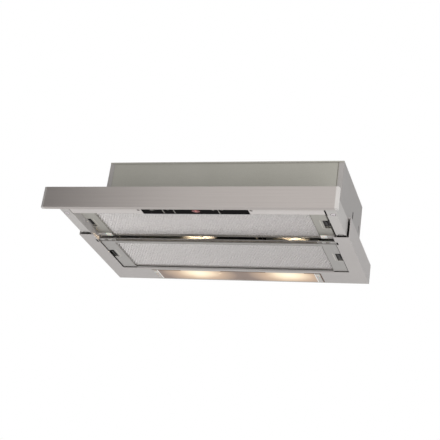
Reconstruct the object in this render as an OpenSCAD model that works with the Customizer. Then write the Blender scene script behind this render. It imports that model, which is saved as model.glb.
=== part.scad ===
// Pull out range hood: a sheet metal casing with a blower, and a drawer with the controls and the front filter.
// Millimetres. X runs along the width, Y from the front to the wall, Z up. The drawer is drawn pulled out.
// The origin is the middle of the four hanging screws, on the top plate.

/* [Lower casing] */
// Width of the lower casing
casing_w = 578; // [560:1:586]
// Depth of the casing, from its front edge to the wall
casing_d = 244; // [242:1:262]
// Height of the lower casing, up to its ledge
casing_h = 43; // [42:1:48]
// Width of the foot folded in under each side
foot_w = 32; // [31:1:34]
// Thickness of the casing sheet
sheet = 1; // [0.8:0.1:1.2]
// Height of the lip along the front edge of the ledge
ledge_lip = 3; // [1:0.5:3.5]

/* [Upper housing] */
// Step in from the side of the casing to the side of the upper housing
housing_step = 30; // [24:1:49]
// Height of the hood, from its bottom to the top plate
housing_h = 182; // [180:1:210]
// Distance of the upper housing behind the front of the casing
set_back = 23; // [16:1:26]
// Width of the side flanges folded on to the front
seam_w = 10; // [6:1:14]
// Width of the feet folded in where the housing stands on the ledge
seam_lap = 12; // [8:1:16]
// Height of the lip along the front of the top plate
top_lip = 3; // [1:0.5:5]
// Distance of the side slot from the front of the casing
slot_y = 149; // [60:1:200]
// Height of the side slot above the bottom of the casing
slot_z = 111; // [60:1:150]
// Width of the side slot
slot_w = 7; // [2:0.5:8]
// Length of the side slot
slot_l = 16; // [8:1:24]
// Distance of the thin slot behind the side slot
thin_slot_step = 72; // [50:1:80]
// Width of the thin slot
thin_slot_w = 3; // [1:0.5:4]

/* [Hanging screws] */
// Distance of the screw holes from the housing's sides
hang_edge = 29; // [24:1:39]
// Distance between the screw holes from front to back
hang_y = 150; // [146:1:156]
// Radius of the screw holes
hang_r = 2.75; // [2:0.25:4]

/* [Drawer] */
// Width of the front panel
panel_w = 598; // [592:1:600]
// Height of the front panel
panel_h = 44; // [40:1:50]
// Depth of the front panel
panel_d = 10; // [8:1:14]
// Distance of the panel's bottom edge below the casing
panel_drop = 16; // [10:1:20]
// Thickness of the panel sheet
panel_t = 1.2; // [0.8:0.1:2]
// Width of the caps on the ends of the panel
cap_w = 6; // [5:0.5:10]
// Radius of the caps' outer front edge
cap_round = 4; // [1:0.5:5]
// Distance of the panel's face in front of the casing, pulled out
drawer_reach = 170; // [160:1:174]
// Travel of the drawer
drawer_travel = 114; // [100:1:116]
// Distance of the carriage's back end behind the front of the casing, pulled out
carriage_back = 110; // [70:1:114]
// Height of the carriage's underside above the casing's bottom
carriage_lift = 4; // [3.5:0.5:5]
// Height of the carriage
carriage_h = 34; // [34:1:35]
// Gap between the carriage and the casing's outer width
carriage_gap = 5.5; // [4:0.5:6]
// Width of the carriage's side runners
runner_w = 20; // [19:0.5:21]
// Thickness of the carriage sheet
carriage_t = 1.2; // [0.8:0.1:1.4]
// Depth of the control strip
strip_d = 62; // [54:1:66]
// Height of the upstand at the back of the control strip
upstand_h = 15; // [12:1:18]
// Height of the rear bar
rear_bar_h = 20; // [14:1:22]
// Length of the slope at the front of the runners' walls
nose_l = 26; // [20:1:40]
// Height of that slope
nose_h = 14; // [10:1:20]
// Depth of the lips that carry the front filter
filter_lip = 4; // [3:0.5:6]

/* [Controls] */
// Left end of the black control panel
bezel_left = -107; // [-150:1:-106]
// Right end of the black control panel
bezel_right = 113; // [100:1:150]
// Depth of the black control panel
bezel_d = 35; // [28:1:40]
// Thickness of the black control panel
bezel_t = 1; // [0.8:0.1:1.5]
// Rim of the black control panel around the keys
bezel_rim = 2; // [1.5:0.5:3]
// Left edge of the light key
light_key_x = -104; // [-105:1:-100]
// Width of the light key
light_key_w = 40; // [20:1:40]
// Left edge of the off key
off_key_x = -60; // [-60:1:-56]
// Width of the off key
off_key_w = 19; // [12:1:19]
// Left edge of the slow key
slow_key_x = -37; // [-38:1:-34]
// Width of the slow key
slow_key_w = 29; // [18:1:29]
// Left edge of the fast key
fast_key_x = 17; // [17:1:22]
// Width of the fast key
fast_key_w = 34; // [20:1:38]
// Height of the keys
key_h = 6; // [5:0.5:6]
// Running gap around the keys
key_gap = 0.3; // [0.2:0.05:0.5]
// Centre of the red display lens
lens_x = 4; // [2:1:6]
// Width of the red display lens
lens_w = 15; // [10:1:18]
// Length of the red display lens from front to back
lens_l = 8; // [5:1:10]
// Height of the circuit board above the control strip
board_z = 7; // [7:0.5:9]
// Thickness of the circuit board
board_t = 1.6; // [1:0.2:2]
// Radius of the posts under the circuit board
board_post_r = 3; // [2:0.5:4]

/* [Runners] */
// Gap between a fixed rail and the walls of its runner
rail_gap = 1.8; // [1.5:0.1:2.4]
// Height of the fixed rails' lower edges above the casing's bottom
rail_z = 12; // [8:1:20]
// Thickness of the fixed rails
rail_t = 1.2; // [1:0.1:1.6]
// Running gap of the gliders and the pads
run_gap = 0.3; // [0.2:0.05:0.5]
// Length of the gliders
glider_l = 38; // [20:1:50]
// Distance of the rails' ends from the casing's ends
rail_end = 2; // [1:0.5:4]
// Length of the pads at the front of the feet
pad_l = 20; // [10:1:30]
// Width of the pads
pad_w = 7; // [4:0.5:7]
// Radius of the screw heads on the runners
strip_screw_r = 2.6; // [2:0.1:4]
// Height of the screw heads on the runners
strip_screw_h = 1; // [0.6:0.1:1.4]

/* [Filters] */
// Gap between both filters and the feet beside them
foot_gap = 2; // [1.5:0.5:10]
// Thickness of both filters
filter_t = 8; // [7.5:0.5:8]
// Width of the plain frame at each end of both filters' mesh
mesh_end = 31; // [27:1:45]
// Thickness of the mesh layers
mesh_t = 2; // [1:0.5:3]
// Depth of the mesh in its frame
mesh_inset = 2; // [0.5:0.5:3]
// Gap between the rear filter and the drawer's pieces that pass over it
pass_gap = 1.8; // [1.5:0.1:2.2]
// Back edge of the front filter, pulled out
front_filter_back = 31; // [24:1:38]
// Front rim of the front filter
front_rim = 8; // [6:1:16]
// Back rim of the front filter
back_rim = 1; // [1:0.5:6]
// Height of the rear filter above the casing's bottom
rear_filter_z = 2; // [1.5:0.1:2.5]
// Gap between the rear filter and the control strip pushed in
strip_clear = 11; // [8:0.5:12]
// Depth of the rear filter
rear_filter_d = 153; // [146:1:154]
// Front rim of the rear filter
lip_rim = 19; // [16:1:26]
// Depth of the thin lip along the rear filter's front edge
lip_d = 11; // [6:1:12]
// Thickness of that lip, and its height above the filter's underside
lip_t = 1; // [0.8:0.1:1.4]
// Width of the two hook slots near each end of that lip
lip_slot_w = 8; // [4:0.5:9]
// Depth of those slots
lip_slot_d = 6; // [3:0.5:7]
// Step from one of those slots to the next
lip_slot_step = 16; // [13:0.5:17]
// Back rim of the rear filter
tail_rim = 8; // [6:1:14]
// Width of the white clips under the front filter's back corners
clip_w = 13; // [8:1:14]
// Length of the white clips from front to back
clip_l = 11; // [6:1:13]
// Thickness of the white clips
clip_t = 1; // [0.6:0.1:1.2]
// Gap of the filters to the pieces that hold them
hold_gap = 0.3; // [0.2:0.05:0.4]
// Gap between the rear filter and the frame behind it
rear_gap = 2; // [1:0.5:2.5]

/* [Filter latches] */
// Length of the finger recesses
latch_l = 36; // [24:1:50]
// Depth of the finger recesses in from the filter's end
latch_w = 11; // [9:1:13]
// Height of the finger recesses
latch_recess_h = 3; // [2.5:0.5:3.5]
// Height of the sliders' slots
latch_slot_h = 3.5; // [3:0.5:4]
// Travel of the sliders
latch_travel = 5; // [3:0.5:5]
// Running gap around the sliders
latch_gap = 0.3; // [0.2:0.05:0.4]
// Length of the latches' tongues
tongue_l = 8; // [6:1:20]
// Thickness of the sliders' tongues
tongue_t = 1.6; // [1:0.2:2.4]
// Reach of the front tongues through the carriage's wall
tongue_reach = 1.3; // [0.5:0.1:2]
// Thickness of the sliders' finger tabs
tab_w = 3; // [2:0.5:4]

/* [Lamp] */
// Distance of the lamp window from the feet beside it
window_side = 67; // [57:1:87]
// Depth of the lamp window
window_d = 48; // [40:1:48]
// Distance of the lamp window from the back wall
window_back = 3; // [2:0.5:4]
// Width of the clear sections at the window's ends
window_end = 12; // [8:1:20]
// Thickness of the lamp cover
cover_t = 1.6; // [1.2:0.2:2.4]
// Overlap of the lamp cover on the frame
cover_lap = 3; // [2:0.5:4]
// Gap around the lamp cover in its window
cover_gap = 0.3; // [0.2:0.1:0.6]
// Height of the lamp tray
tray_h = 31; // [30:1:40]
// Distance of the first bulb from the middle
bulb_left_x = -85; // [-95:1:-75]
// Distance of the second bulb from the middle
bulb_right_x = 124; // [110:1:130]
// Radius of the bulbs
bulb_r = 12; // [9:0.5:12]
// Length of the bulbs' glass
bulb_l = 44; // [36:1:50]
// Radius of the bulbs' screw caps
bulb_cap_r = 7; // [6:0.5:8]
// Length of the bulbs' screw caps that shows
bulb_cap_l = 6; // [3:1:8]
// Radius of the lamp holders
socket_r = 11; // [9:0.5:12]
// Length of the lamp holders
socket_l = 26; // [20:1:30]

/* [Blower] */
// Distance of the blower's shaft behind the front of the casing
blower_y = 156; // [150:1:160]
// Height of the blower's shaft above the casing's bottom
blower_z = 106; // [104:1:112]
// Width of the scroll
scroll_w = 116; // [106:1:120]
// Radius of the scroll beside its outlet's inner wall
scroll_r0 = 50; // [49:1:52]
// Growth of the scroll's radius towards its outlet
scroll_grow = 12; // [8:1:13]
// Depth of the scroll's outlet
outlet_d = 80; // [70:1:84]
// Thickness of the scroll's wall
scroll_t = 1.5; // [1:0.1:2]
// Width of the scroll's top flange
scroll_flange = 8; // [5:1:12]
// Radius of the inlet openings
inlet_r = 42; // [38:1:43]
// Depth of the inlet rings
inlet_ring = 4; // [2:0.5:5]
// Radius of the impeller
impeller_r = 44; // [42:0.5:45]
// Width of the impeller
impeller_w = 100; // [80:1:102]
// Number of blades
blade_count = 30; // [16:1:36]
// Length of a blade from the rim inwards
blade_l = 8; // [6:0.5:10]
// Thickness of a blade
blade_t = 1.2; // [1:0.1:1.6]
// Thickness of the impeller's middle plate
hub_plate_t = 3; // [2:0.5:4]
// Radius of the impeller's hub
hub_r = 9; // [7:0.5:12]
// Length of the impeller's hub
hub_l = 24; // [16:1:30]
// Radius of the shaft
shaft_r = 4; // [3:0.5:5]
// Radial clearance of the shaft in the motor
shaft_gap = 0.05; // [0.02:0.01:0.1]
// Radius of the motor
motor_r = 33; // [28:1:36]
// Length of the motor
motor_l = 50; // [40:1:60]
// Distance of the motor outside the scroll
motor_gap = 4; // [3:0.5:8]
// Thickness of the motor's ring and arms
bracket_t = 2; // [1.5:0.5:3]
// Width of the motor's arms
arm_w = 12; // [8:1:16]
// Reach of the motor's arms past the inlet opening
arm_lap = 6; // [4:1:7]

/* [Outlet] */
// Distance of the outlet's centre behind the front of the casing
collar_y = 134; // [132:1:136]
// Radius inside the collar
collar_r = 58; // [56:0.5:60]
// Thickness of the collar's wall
collar_t = 1.5; // [1:0.1:2.5]
// Height of the collar above the top plate
collar_h = 26; // [20:1:27]
// Width of the collar's flange
collar_flange = 10; // [6:1:12]
// Thickness of the collar's flange
collar_flange_t = 2; // [1.5:0.5:3]
// Height of the flaps' axle above the top plate
axle_z = 12; // [10:1:16]
// Radius of the flaps' axle
axle_r = 2; // [1.5:0.25:3]
// Radial clearance of the flaps on their axle
axle_gap = 0.05; // [0.02:0.01:0.1]
// Radius around the flaps' knuckles
knuckle_r = 3.6; // [3.4:0.1:4.5]
// Length of the middle knuckle
knuckle_l = 36; // [20:1:50]
// Gap between the flaps' knuckles
knuckle_gap = 1; // [0.5:0.25:2]
// Thickness of the flaps
flap_t = 1.2; // [1:0.1:2]
// Gap between the flaps and the collar
flap_gap = 1.5; // [1:0.25:2.5]
// Width of the stop ring that the flaps close on
stop_w = 3; // [2:0.5:4]
// Height of the stop ring
stop_h = 3; // [2:0.5:4]
// Gap between the flaps and the stop ring
stop_gap = 0.3; // [0.2:0.05:0.5]

/* [Wiring] */
// Distance of the terminal box's middle from the hood's middle
box_x = 165; // [150:1:170]
// Width of the terminal box
box_w = 70; // [50:1:80]
// Depth of the terminal box
box_d = 60; // [40:1:70]
// Height of the terminal box
box_h = 30; // [20:1:40]
// Thickness of the terminal box's walls
box_t = 2; // [1.5:0.5:3]
// Distance of the terminal box behind the housing's front
box_back = 40; // [30:1:50]
// Thickness of the terminal box's lid
lid_t = 2; // [1.5:0.5:3]
// Radius of the capacitor
capacitor_r = 15; // [10:1:20]
// Length of the capacitor
capacitor_l = 50; // [40:1:60]
// Distance of the capacitor from the hood's middle
capacitor_x = 160; // [150:1:180]
// Radius of the cable gland
gland_r = 9; // [7:0.5:12]
// Height of the cable gland above the top plate
gland_h = 16; // [10:1:22]
// Radius of the cable gland's hole
gland_bore_r = 4; // [3:0.5:5]
// Distance of the cable gland from the back wall
gland_back = 30; // [20:1:40]
// Width of the end switch
switch_w = 12; // [8:1:12]
// Height of the end switch
switch_h = 18; // [12:1:20]
// Gap between the end switch and the carriage pushed in
switch_gap = 0.5; // [0.3:0.1:1]
// Length of the end switch's plunger
plunger_l = 2; // [1.5:0.5:3]

/* [Hidden] */
$fn = 64;
// Overlap of cuts past the faces that they open
cut = 1;
casing_x = casing_w / 2;
housing_x = casing_x - housing_step;
hang_x = housing_x - hang_edge;
wall_x = casing_x - sheet;
back_y = casing_d - sheet;
under_top = housing_h - sheet;
front_in = set_back + 2 * sheet;
foot_in = casing_x - foot_w;
runner_out = casing_x - carriage_gap;
runner_in = runner_out - runner_w;
panel_back = panel_d - drawer_reach;
panel_bottom = -panel_drop;
panel_top = panel_h - panel_drop;
panel_in = panel_w / 2 - cap_w;
strip_back = panel_back + strip_d;
strip_top = carriage_lift + carriage_t;
carriage_top = carriage_lift + carriage_h;
bezel_y = strip_back - 1;
bezel_front = bezel_y - bezel_d;
key_front = bezel_front + bezel_rim;
key_back = bezel_y - bezel_rim;
lens_y = key_back - 4;
bezel_z = carriage_lift - bezel_t;
rail_in = runner_in + carriage_t + rail_gap;
rail_out = runner_out - carriage_t - rail_gap;
rail_top = casing_h - sheet;
filter_x = foot_in - foot_gap;
mesh_x = filter_x - mesh_end;
clip_x = mesh_x + 2 * sheet;
rear_filter_front = strip_back + drawer_travel + strip_clear;
rear_filter_back = rear_filter_front + rear_filter_d;
front_filter_z = rear_filter_z + filter_t + pass_gap + carriage_t;
front_latch_y = (strip_back + front_filter_back) / 2;
rear_latch_y = (rear_filter_front + rear_filter_back) / 2;
lamp_frame_front = rear_filter_back + rear_gap;
hook_z = rear_filter_z + filter_t + hold_gap;
window_x = foot_in - window_side;
window_y1 = back_y - window_back;
window_y0 = window_y1 - window_d;
tray_margin = cover_lap + 2;
lamp_y = (window_y0 + window_y1) / 2;
lamp_z = (sheet + cover_t + tray_h) / 2;
tray_top = sheet + tray_h;
scroll_x = scroll_w / 2;
cheek_x = scroll_x + scroll_t;
scroll_r1 = scroll_r0 + scroll_grow;
outlet_y0 = blower_y - scroll_r1;
outlet_y1 = outlet_y0 + outlet_d;
outlet_angle = acos((outlet_y1 - blower_y) / scroll_r0);
motor_x = cheek_x + motor_gap;
axle_height = housing_h + axle_z;
flap_r = collar_r - flap_gap;
knuckle_out = knuckle_l / 2 + knuckle_gap;
box_front = set_back + box_back;
switch_y = carriage_back + drawer_travel + switch_gap;
slider_w = latch_w + 1;
latch_slot_w = slider_w + latch_travel + 2 * latch_gap;

// Places a piece drawn from the casing's front bottom edge in the hood's own frame
module at_hood() translate([0, -collar_y, -housing_h]) children();

// A block between two corners
module block(x0, x1, y0, y1, z0, z1) translate([x0, y0, z0]) cube([x1 - x0, y1 - y0, z1 - z0]);

// A piece drawn on the right, or its mirror image on the left
module on_side(left) mirror([left ? 1 : 0, 0, 0]) children();

// A cylinder along X that starts at x0
module rod_x(x0, x1, y, z, r) translate([x0, y, z]) rotate([0, 90, 0]) cylinder(h = x1 - x0, r = r);

// Lower casing: a wall with a foot below and a ledge above, folded from one sheet
module casing_side(left) at_hood() color("#b0afad") on_side(left) {
    block(wall_x, casing_x, 0, back_y, 0, casing_h);
    block(foot_in, wall_x, 0, back_y, 0, sheet);
    block(housing_x - seam_lap, wall_x, 0, back_y, casing_h - sheet, casing_h);
}
module casing_side_left() casing_side(true);
module casing_side_right() casing_side(false);

// Upper side: a wall with a flange on the front and a foot on the ledge
module housing_side(left) at_hood() color("#9e9a98") on_side(left) difference() {
    union() {
        block(housing_x - sheet, housing_x, set_back, back_y, casing_h, under_top);
        block(housing_x - seam_w, housing_x - sheet, set_back, set_back + sheet, casing_h, under_top);
        block(housing_x - seam_lap, housing_x - sheet, front_in, back_y, casing_h, casing_h + sheet);
    }
    block(housing_x - sheet - cut, housing_x + cut, slot_y, slot_y + slot_w, slot_z, slot_z + slot_l);
    translate([0, thin_slot_step, 0])
        block(housing_x - sheet - cut, housing_x + cut, slot_y, slot_y + thin_slot_w, slot_z, slot_z + slot_l);
}
module housing_side_left() housing_side(true);
module housing_side_right() housing_side(false);

// Front sheet, held behind the side flanges
module housing_front() at_hood() color("#8f9088") {
    block(sheet - housing_x, housing_x - sheet, set_back + sheet, front_in, casing_h, under_top);
    block(seam_lap - housing_x, housing_x - seam_lap, front_in, front_in + seam_lap,
        casing_h, casing_h + sheet);
}

// Back wall, wider below the ledge
module back_wall() at_hood() color("#9a9996") {
    block(-casing_x, casing_x, back_y, casing_d, 0, casing_h);
    block(-housing_x, housing_x, back_y, casing_d, casing_h, under_top);
}

// Top plate with the outlet, the hanging holes and the cable hole
module top_plate() at_hood() color("#9a9996") difference() {
    union() {
        block(-housing_x, housing_x, set_back, casing_d, under_top, housing_h);
        block(-housing_x, housing_x, set_back - sheet, set_back, housing_h - top_lip, housing_h);
    }
    translate([0, collar_y, under_top - cut]) cylinder(h = sheet + 2 * cut, r = collar_r);
    for (x = [-1, 1], y = [-1, 1])
        translate([x * hang_x, collar_y + y * hang_y / 2, under_top - cut])
            cylinder(h = sheet + 2 * cut, r = hang_r);
    translate([-box_x, casing_d - gland_back, under_top - cut]) cylinder(h = sheet + 2 * cut, r = gland_bore_r);
}

// Ledge in front of the upper housing, with a lip along its edge
module front_ledge() at_hood() color("#b0afad") {
    block(seam_lap - housing_x, housing_x - seam_lap, 0, front_in + seam_lap, casing_h - sheet, casing_h);
    block(seam_lap - housing_x, housing_x - seam_lap, 0, sheet, casing_h - sheet - ledge_lip, casing_h - sheet);
}

// Sheet behind the rear filter, with the lamp window and the hook over the filter's back edge
module bottom_frame() at_hood() color("#b0afad") difference() {
    union() {
        block(-foot_in, foot_in, lamp_frame_front, back_y, 0, sheet);
        block(-mesh_x, mesh_x, lamp_frame_front, lamp_frame_front + sheet, sheet, hook_z + sheet);
        block(-mesh_x, mesh_x, rear_filter_back - tail_rim / 2, lamp_frame_front, hook_z, hook_z + sheet);
    }
    block(-window_x, window_x, window_y0, window_y1, -cut, sheet + cut);
}

// Diffuser of the lamp, stepped into its window
module lamp_cover() at_hood() color("#ffe9c4") {
    block(window_end - window_x, window_x - window_end, window_y0 + cover_gap, window_y1 - cover_gap, 0, sheet);
    block(window_end - window_x, window_x - window_end, window_y0 - cover_lap, window_y1 + window_back / 2,
        sheet, sheet + cover_t);
}

// Clear end pieces that hold the diffuser
module lamp_ends() at_hood() color("#dcd8cf") for (left = [true, false]) on_side(left) {
    block(window_x - window_end, window_x - cover_gap, window_y0 + cover_gap, window_y1 - cover_gap, 0, sheet);
    block(window_x - window_end, window_x + cover_lap, window_y0 - cover_lap, window_y1 + window_back / 2,
        sheet, sheet + cover_t);
}

// Lamp tray over the window, open below
module lamp_tray() at_hood() color("#d8d6d0") difference() {
    block(-window_x - tray_margin, window_x + tray_margin, window_y0 - tray_margin, back_y, sheet, tray_top);
    block(sheet - window_x - tray_margin, window_x + tray_margin - sheet, window_y0 - tray_margin + sheet,
        back_y - sheet, sheet - cut, tray_top - sheet);
}

// Lamp holder to the left of its bulb, with its foot on the tray
module lamp_socket(x) {
    rod_x(x - bulb_l / 2 - bulb_cap_l - socket_l, x - bulb_l / 2 - bulb_cap_l, lamp_y, lamp_z, socket_r);
    block(x - bulb_l / 2 - bulb_cap_l - socket_l, x - bulb_l / 2 - bulb_cap_l - socket_l / 2,
        lamp_y - socket_r / 2, lamp_y + socket_r / 2, lamp_z, tray_top - sheet);
}
module lamp_sockets() at_hood() color("#efece4") {
    lamp_socket(bulb_left_x);
    lamp_socket(bulb_right_x);
}

// Candle bulb, turned about its own length
module bulb(x) {
    rod_x(x - bulb_l / 2 - bulb_cap_l, x - bulb_l / 2, lamp_y, lamp_z, bulb_cap_r);
    translate([x - bulb_l / 2, lamp_y, lamp_z]) rotate([0, 90, 0])
        rotate_extrude() polygon([
            [0, 0], [bulb_cap_r, 0], [bulb_r * 0.9, bulb_l * 0.2], [bulb_r, bulb_l * 0.38],
            [bulb_r * 0.86, bulb_l * 0.62], [bulb_r * 0.5, bulb_l * 0.85], [bulb_r * 0.16, bulb_l], [0, bulb_l]
        ]);
}
module bulbs() at_hood() color("#fff6e0") {
    bulb(bulb_left_x);
    bulb(bulb_right_x);
}

// Fixed rail: a channel that opens downwards, under the casing's ledge and inside the runner
module fixed_rail(left) at_hood() color("#c9cbcc") on_side(left) difference() {
    block(rail_in, rail_out, rail_end, back_y - rail_end, rail_z, rail_top);
    block(rail_in + rail_t, rail_out - rail_t, rail_end - cut, back_y - rail_end + cut,
        rail_z - cut, rail_top - rail_t);
}
module fixed_rail_left() fixed_rail(true);
module fixed_rail_right() fixed_rail(false);

// Pads on the casing's feet, under the runners
module rail_pads() at_hood() color("#e9e7e1") for (left = [true, false]) on_side(left)
    block(runner_in + 1, runner_in + 1 + pad_w, rail_end, rail_end + pad_l, sheet, carriage_lift - run_gap);

// Scroll outline in the plane of the front-to-back and upright directions, grown by a margin
module scroll_outline(grow) {
    polygon([
        [outlet_y0 - grow, under_top],
        for (a = [180:6:360]) scroll_point(a, grow),
        for (a = [366:6:360 + outlet_angle]) scroll_point(a, grow),
        [outlet_y1 + grow, blower_z + scroll_r0 * sin(outlet_angle)],
        [outlet_y1 + grow, under_top]
    ]);
}
// Point of the spiral: its radius shrinks from the outlet's outer wall round to the inner wall
function scroll_point(a, grow) = let (r = scroll_r1 - scroll_grow * (a - 180) / (180 + outlet_angle) + grow)
    [blower_y + r * cos(a), blower_z + r * sin(a)];

// Turns an outline drawn in Y and Z into a plate along X
module plate_x(x0, x1) translate([x0, 0, 0]) rotate([90, 0, 90]) linear_extrude(x1 - x0) children();

// Spiral wall of the blower, with a flange under the top plate
module scroll_wall() at_hood() color("#3a3b3d") {
    plate_x(-scroll_x, scroll_x) difference() {
        scroll_outline(scroll_t);
        scroll_outline(0);
        translate([outlet_y0, under_top - cut]) square([outlet_d, 2 * cut]);
    }
    for (y = [outlet_y0 - scroll_t - scroll_flange, outlet_y1 + scroll_t])
        block(-scroll_x, scroll_x, y, y + scroll_flange, under_top - scroll_t, under_top);
}

// Side plate of the blower with its inlet ring
module scroll_cheek(left) at_hood() color("#3a3b3d") on_side(left) difference() {
    union() {
        plate_x(scroll_x, cheek_x) scroll_outline(scroll_t);
        rod_x(cheek_x, cheek_x + inlet_ring, blower_y, blower_z, inlet_r + scroll_t);
    }
    rod_x(scroll_x - cut, cheek_x + inlet_ring + cut, blower_y, blower_z, inlet_r);
}
module scroll_cheek_left() scroll_cheek(true);
module scroll_cheek_right() scroll_cheek(false);

// Ring around the motor, with three arms on the right side plate
module motor_bracket() at_hood() color("#8c8f92") translate([cheek_x, blower_y, blower_z]) rotate([0, 90, 0])
    difference() {
        union() {
            cylinder(h = motor_gap + motor_l / 2, r = motor_r + bracket_t);
            for (a = [0, 120, 240]) rotate([0, 0, a]) {
                translate([motor_r, -arm_w / 2, inlet_ring])
                    cube([inlet_r + scroll_t + bracket_t - motor_r, arm_w, bracket_t]);
                translate([inlet_r + scroll_t, -arm_w / 2, 0]) cube([bracket_t, arm_w, inlet_ring]);
                translate([inlet_r + scroll_t, -arm_w / 2, 0]) cube([arm_lap, arm_w, bracket_t]);
            }
        }
        translate([0, 0, -cut]) cylinder(h = motor_gap + motor_l, r = motor_r);
    }

// Motor with the bore of its shaft
module motor() at_hood() color("#6f7275") difference() {
    union() {
        rod_x(motor_x, motor_x + motor_l, blower_y, blower_z, motor_r);
        rod_x(motor_x - motor_gap / 2, motor_x, blower_y, blower_z, motor_r / 2);
    }
    rod_x(motor_x - motor_gap, motor_x + motor_l / 2, blower_y, blower_z, shaft_r + shaft_gap);
}

// Shaft from the motor through the impeller's hub
module motor_shaft() at_hood() color("#b8babc")
    rod_x(-hub_l / 2 - 2, motor_x + motor_l / 2 - run_gap, blower_y, blower_z, shaft_r);

// Double inlet impeller: a middle plate, a ring of blades and two end rings
module impeller() at_hood() color("#2c2d2f") translate([-impeller_w / 2, blower_y, blower_z]) rotate([0, 90, 0])
    difference() {
        union() {
            for (i = [0:blade_count - 1]) rotate([0, 0, i * 360 / blade_count])
                translate([impeller_r - blade_l, -blade_t / 2, 0]) cube([blade_l - 0.5, blade_t, impeller_w]);
            for (z = [0, impeller_w - hub_plate_t]) translate([0, 0, z]) difference() {
                cylinder(h = hub_plate_t, r = impeller_r);
                translate([0, 0, -cut]) cylinder(h = hub_plate_t + 2 * cut, r = impeller_r - blade_l);
            }
            translate([0, 0, (impeller_w - hub_plate_t) / 2]) cylinder(h = hub_plate_t, r = impeller_r);
            translate([0, 0, (impeller_w - hub_l) / 2]) cylinder(h = hub_l, r = hub_r);
        }
        translate([0, 0, -cut]) cylinder(h = impeller_w + 2 * cut, r = shaft_r);
    }

// Outlet collar with its flange and the stop ring of the flaps
module outlet_collar() at_hood() color("#2e2f31") translate([0, collar_y, housing_h]) {
    difference() {
        union() {
            cylinder(h = collar_flange_t, r = collar_r + collar_t + collar_flange);
            cylinder(h = collar_h, r = collar_r + collar_t);
        }
        translate([0, 0, -cut]) cylinder(h = collar_h + 2 * cut, r = collar_r);
    }
    translate([0, 0, axle_z - flap_t / 2 - stop_gap - stop_h]) difference() {
        cylinder(h = stop_h, r = collar_r);
        translate([0, 0, -cut]) cylinder(h = stop_h + 2 * cut, r = collar_r - stop_w);
        translate([-collar_r, -knuckle_r - stop_gap, -cut])
            cube([2 * collar_r, 2 * (knuckle_r + stop_gap), stop_h + 2 * cut]);
    }
}

// Axle of both flaps, across the collar
module flap_axle() at_hood() color("#b8babc") intersection() {
    rod_x(-collar_r, collar_r, collar_y, axle_height, axle_r);
    translate([0, collar_y, housing_h]) cylinder(h = collar_h, r = collar_r);
}

// Half of the flap disc, in front of the axle or behind it
module flap(front) difference() {
    translate([0, 0, -flap_t / 2]) cylinder(h = flap_t, r = flap_r);
    translate([-collar_r, front ? 0 : -collar_r, -cut]) cube([2 * collar_r, collar_r, 2 * cut]);
    translate([-collar_r, -knuckle_r - knuckle_gap, -cut])
        cube([2 * collar_r, 2 * (knuckle_r + knuckle_gap), 2 * cut]);
}

// Sleeve around the axle and the web that joins it to its flap
module knuckle(x0, x1, front) difference() {
    union() {
        rod_x(x0, x1, 0, 0, knuckle_r);
        translate([x0, front ? -knuckle_r - knuckle_gap - 1 : 0, -flap_t / 2])
            cube([x1 - x0, knuckle_r + knuckle_gap + 1, flap_t]);
    }
    rod_x(x0 - cut, x1 + cut, 0, 0, axle_r + axle_gap);
}

module flap_front() at_hood() color("#26272a") translate([0, collar_y, axle_height]) {
    flap(true);
    for (x = [-knuckle_out - knuckle_l / 2, knuckle_out]) knuckle(x, x + knuckle_l / 2, true);
}
module flap_rear() at_hood() color("#26272a") translate([0, collar_y, axle_height]) {
    flap(false);
    knuckle(-knuckle_l / 2, knuckle_l / 2, false);
}

// Terminal box under the top plate, with its lid below
module terminal_box() at_hood() color("#d9d7d1") difference() {
    block(-box_x - box_w / 2, box_w / 2 - box_x, box_front, box_front + box_d, under_top - box_h, under_top);
    block(box_t - box_x - box_w / 2, box_w / 2 - box_x - box_t, box_front + box_t, box_front + box_d - box_t,
        under_top - box_h - cut, under_top - box_t);
}
module terminal_lid() at_hood() color("#cfccc5")
    block(-box_x - box_w / 2, box_w / 2 - box_x, box_front, box_front + box_d,
        under_top - box_h - lid_t, under_top - box_h);

// Motor capacitor, standing down from the top plate
module capacitor() at_hood() color("#e4e1da")
    translate([capacitor_x, box_front + box_d / 2, under_top - capacitor_l])
        cylinder(h = capacitor_l, r = capacitor_r);

// Cable gland in the top plate, empty
module cable_gland() at_hood() color("#2a2b2d") translate([-box_x, casing_d - gland_back, housing_h])
    difference() {
        union() {
            cylinder(h = gland_h / 2, r = gland_r, $fn = 6);
            cylinder(h = gland_h, r = gland_r * 0.8);
        }
        translate([0, 0, -cut]) cylinder(h = gland_h + 2 * cut, r = gland_bore_r);
    }

// End switch on the back wall, in the path of the carriage
module end_switch() at_hood() color("#1f2022") {
    block(runner_in + carriage_t - switch_w, runner_in + carriage_t, switch_y + plunger_l, back_y,
        rail_z, rail_z + switch_h);
    block(runner_in - switch_w / 2, runner_in + carriage_t, switch_y, switch_y + plunger_l,
        rail_z + switch_h / 3, rail_z + switch_h * 2 / 3);
}

// Front panel: a face with a flange along its top and its bottom
module front_panel() at_hood() color("#a5a09b") {
    block(-panel_in, panel_in, -drawer_reach, panel_t - drawer_reach, panel_bottom, panel_top);
    block(-panel_in, panel_in, panel_t - drawer_reach, panel_back, panel_bottom, panel_bottom + panel_t);
    block(-panel_in, panel_in, panel_t - drawer_reach, panel_back, panel_top - panel_t, panel_top);
}

// Liner that closes the panel's back and carries the runners
module panel_liner() at_hood() color("#b9b8b3")
    block(-panel_in, panel_in, panel_back - panel_t, panel_back, panel_bottom + panel_t, panel_top - panel_t);

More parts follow.
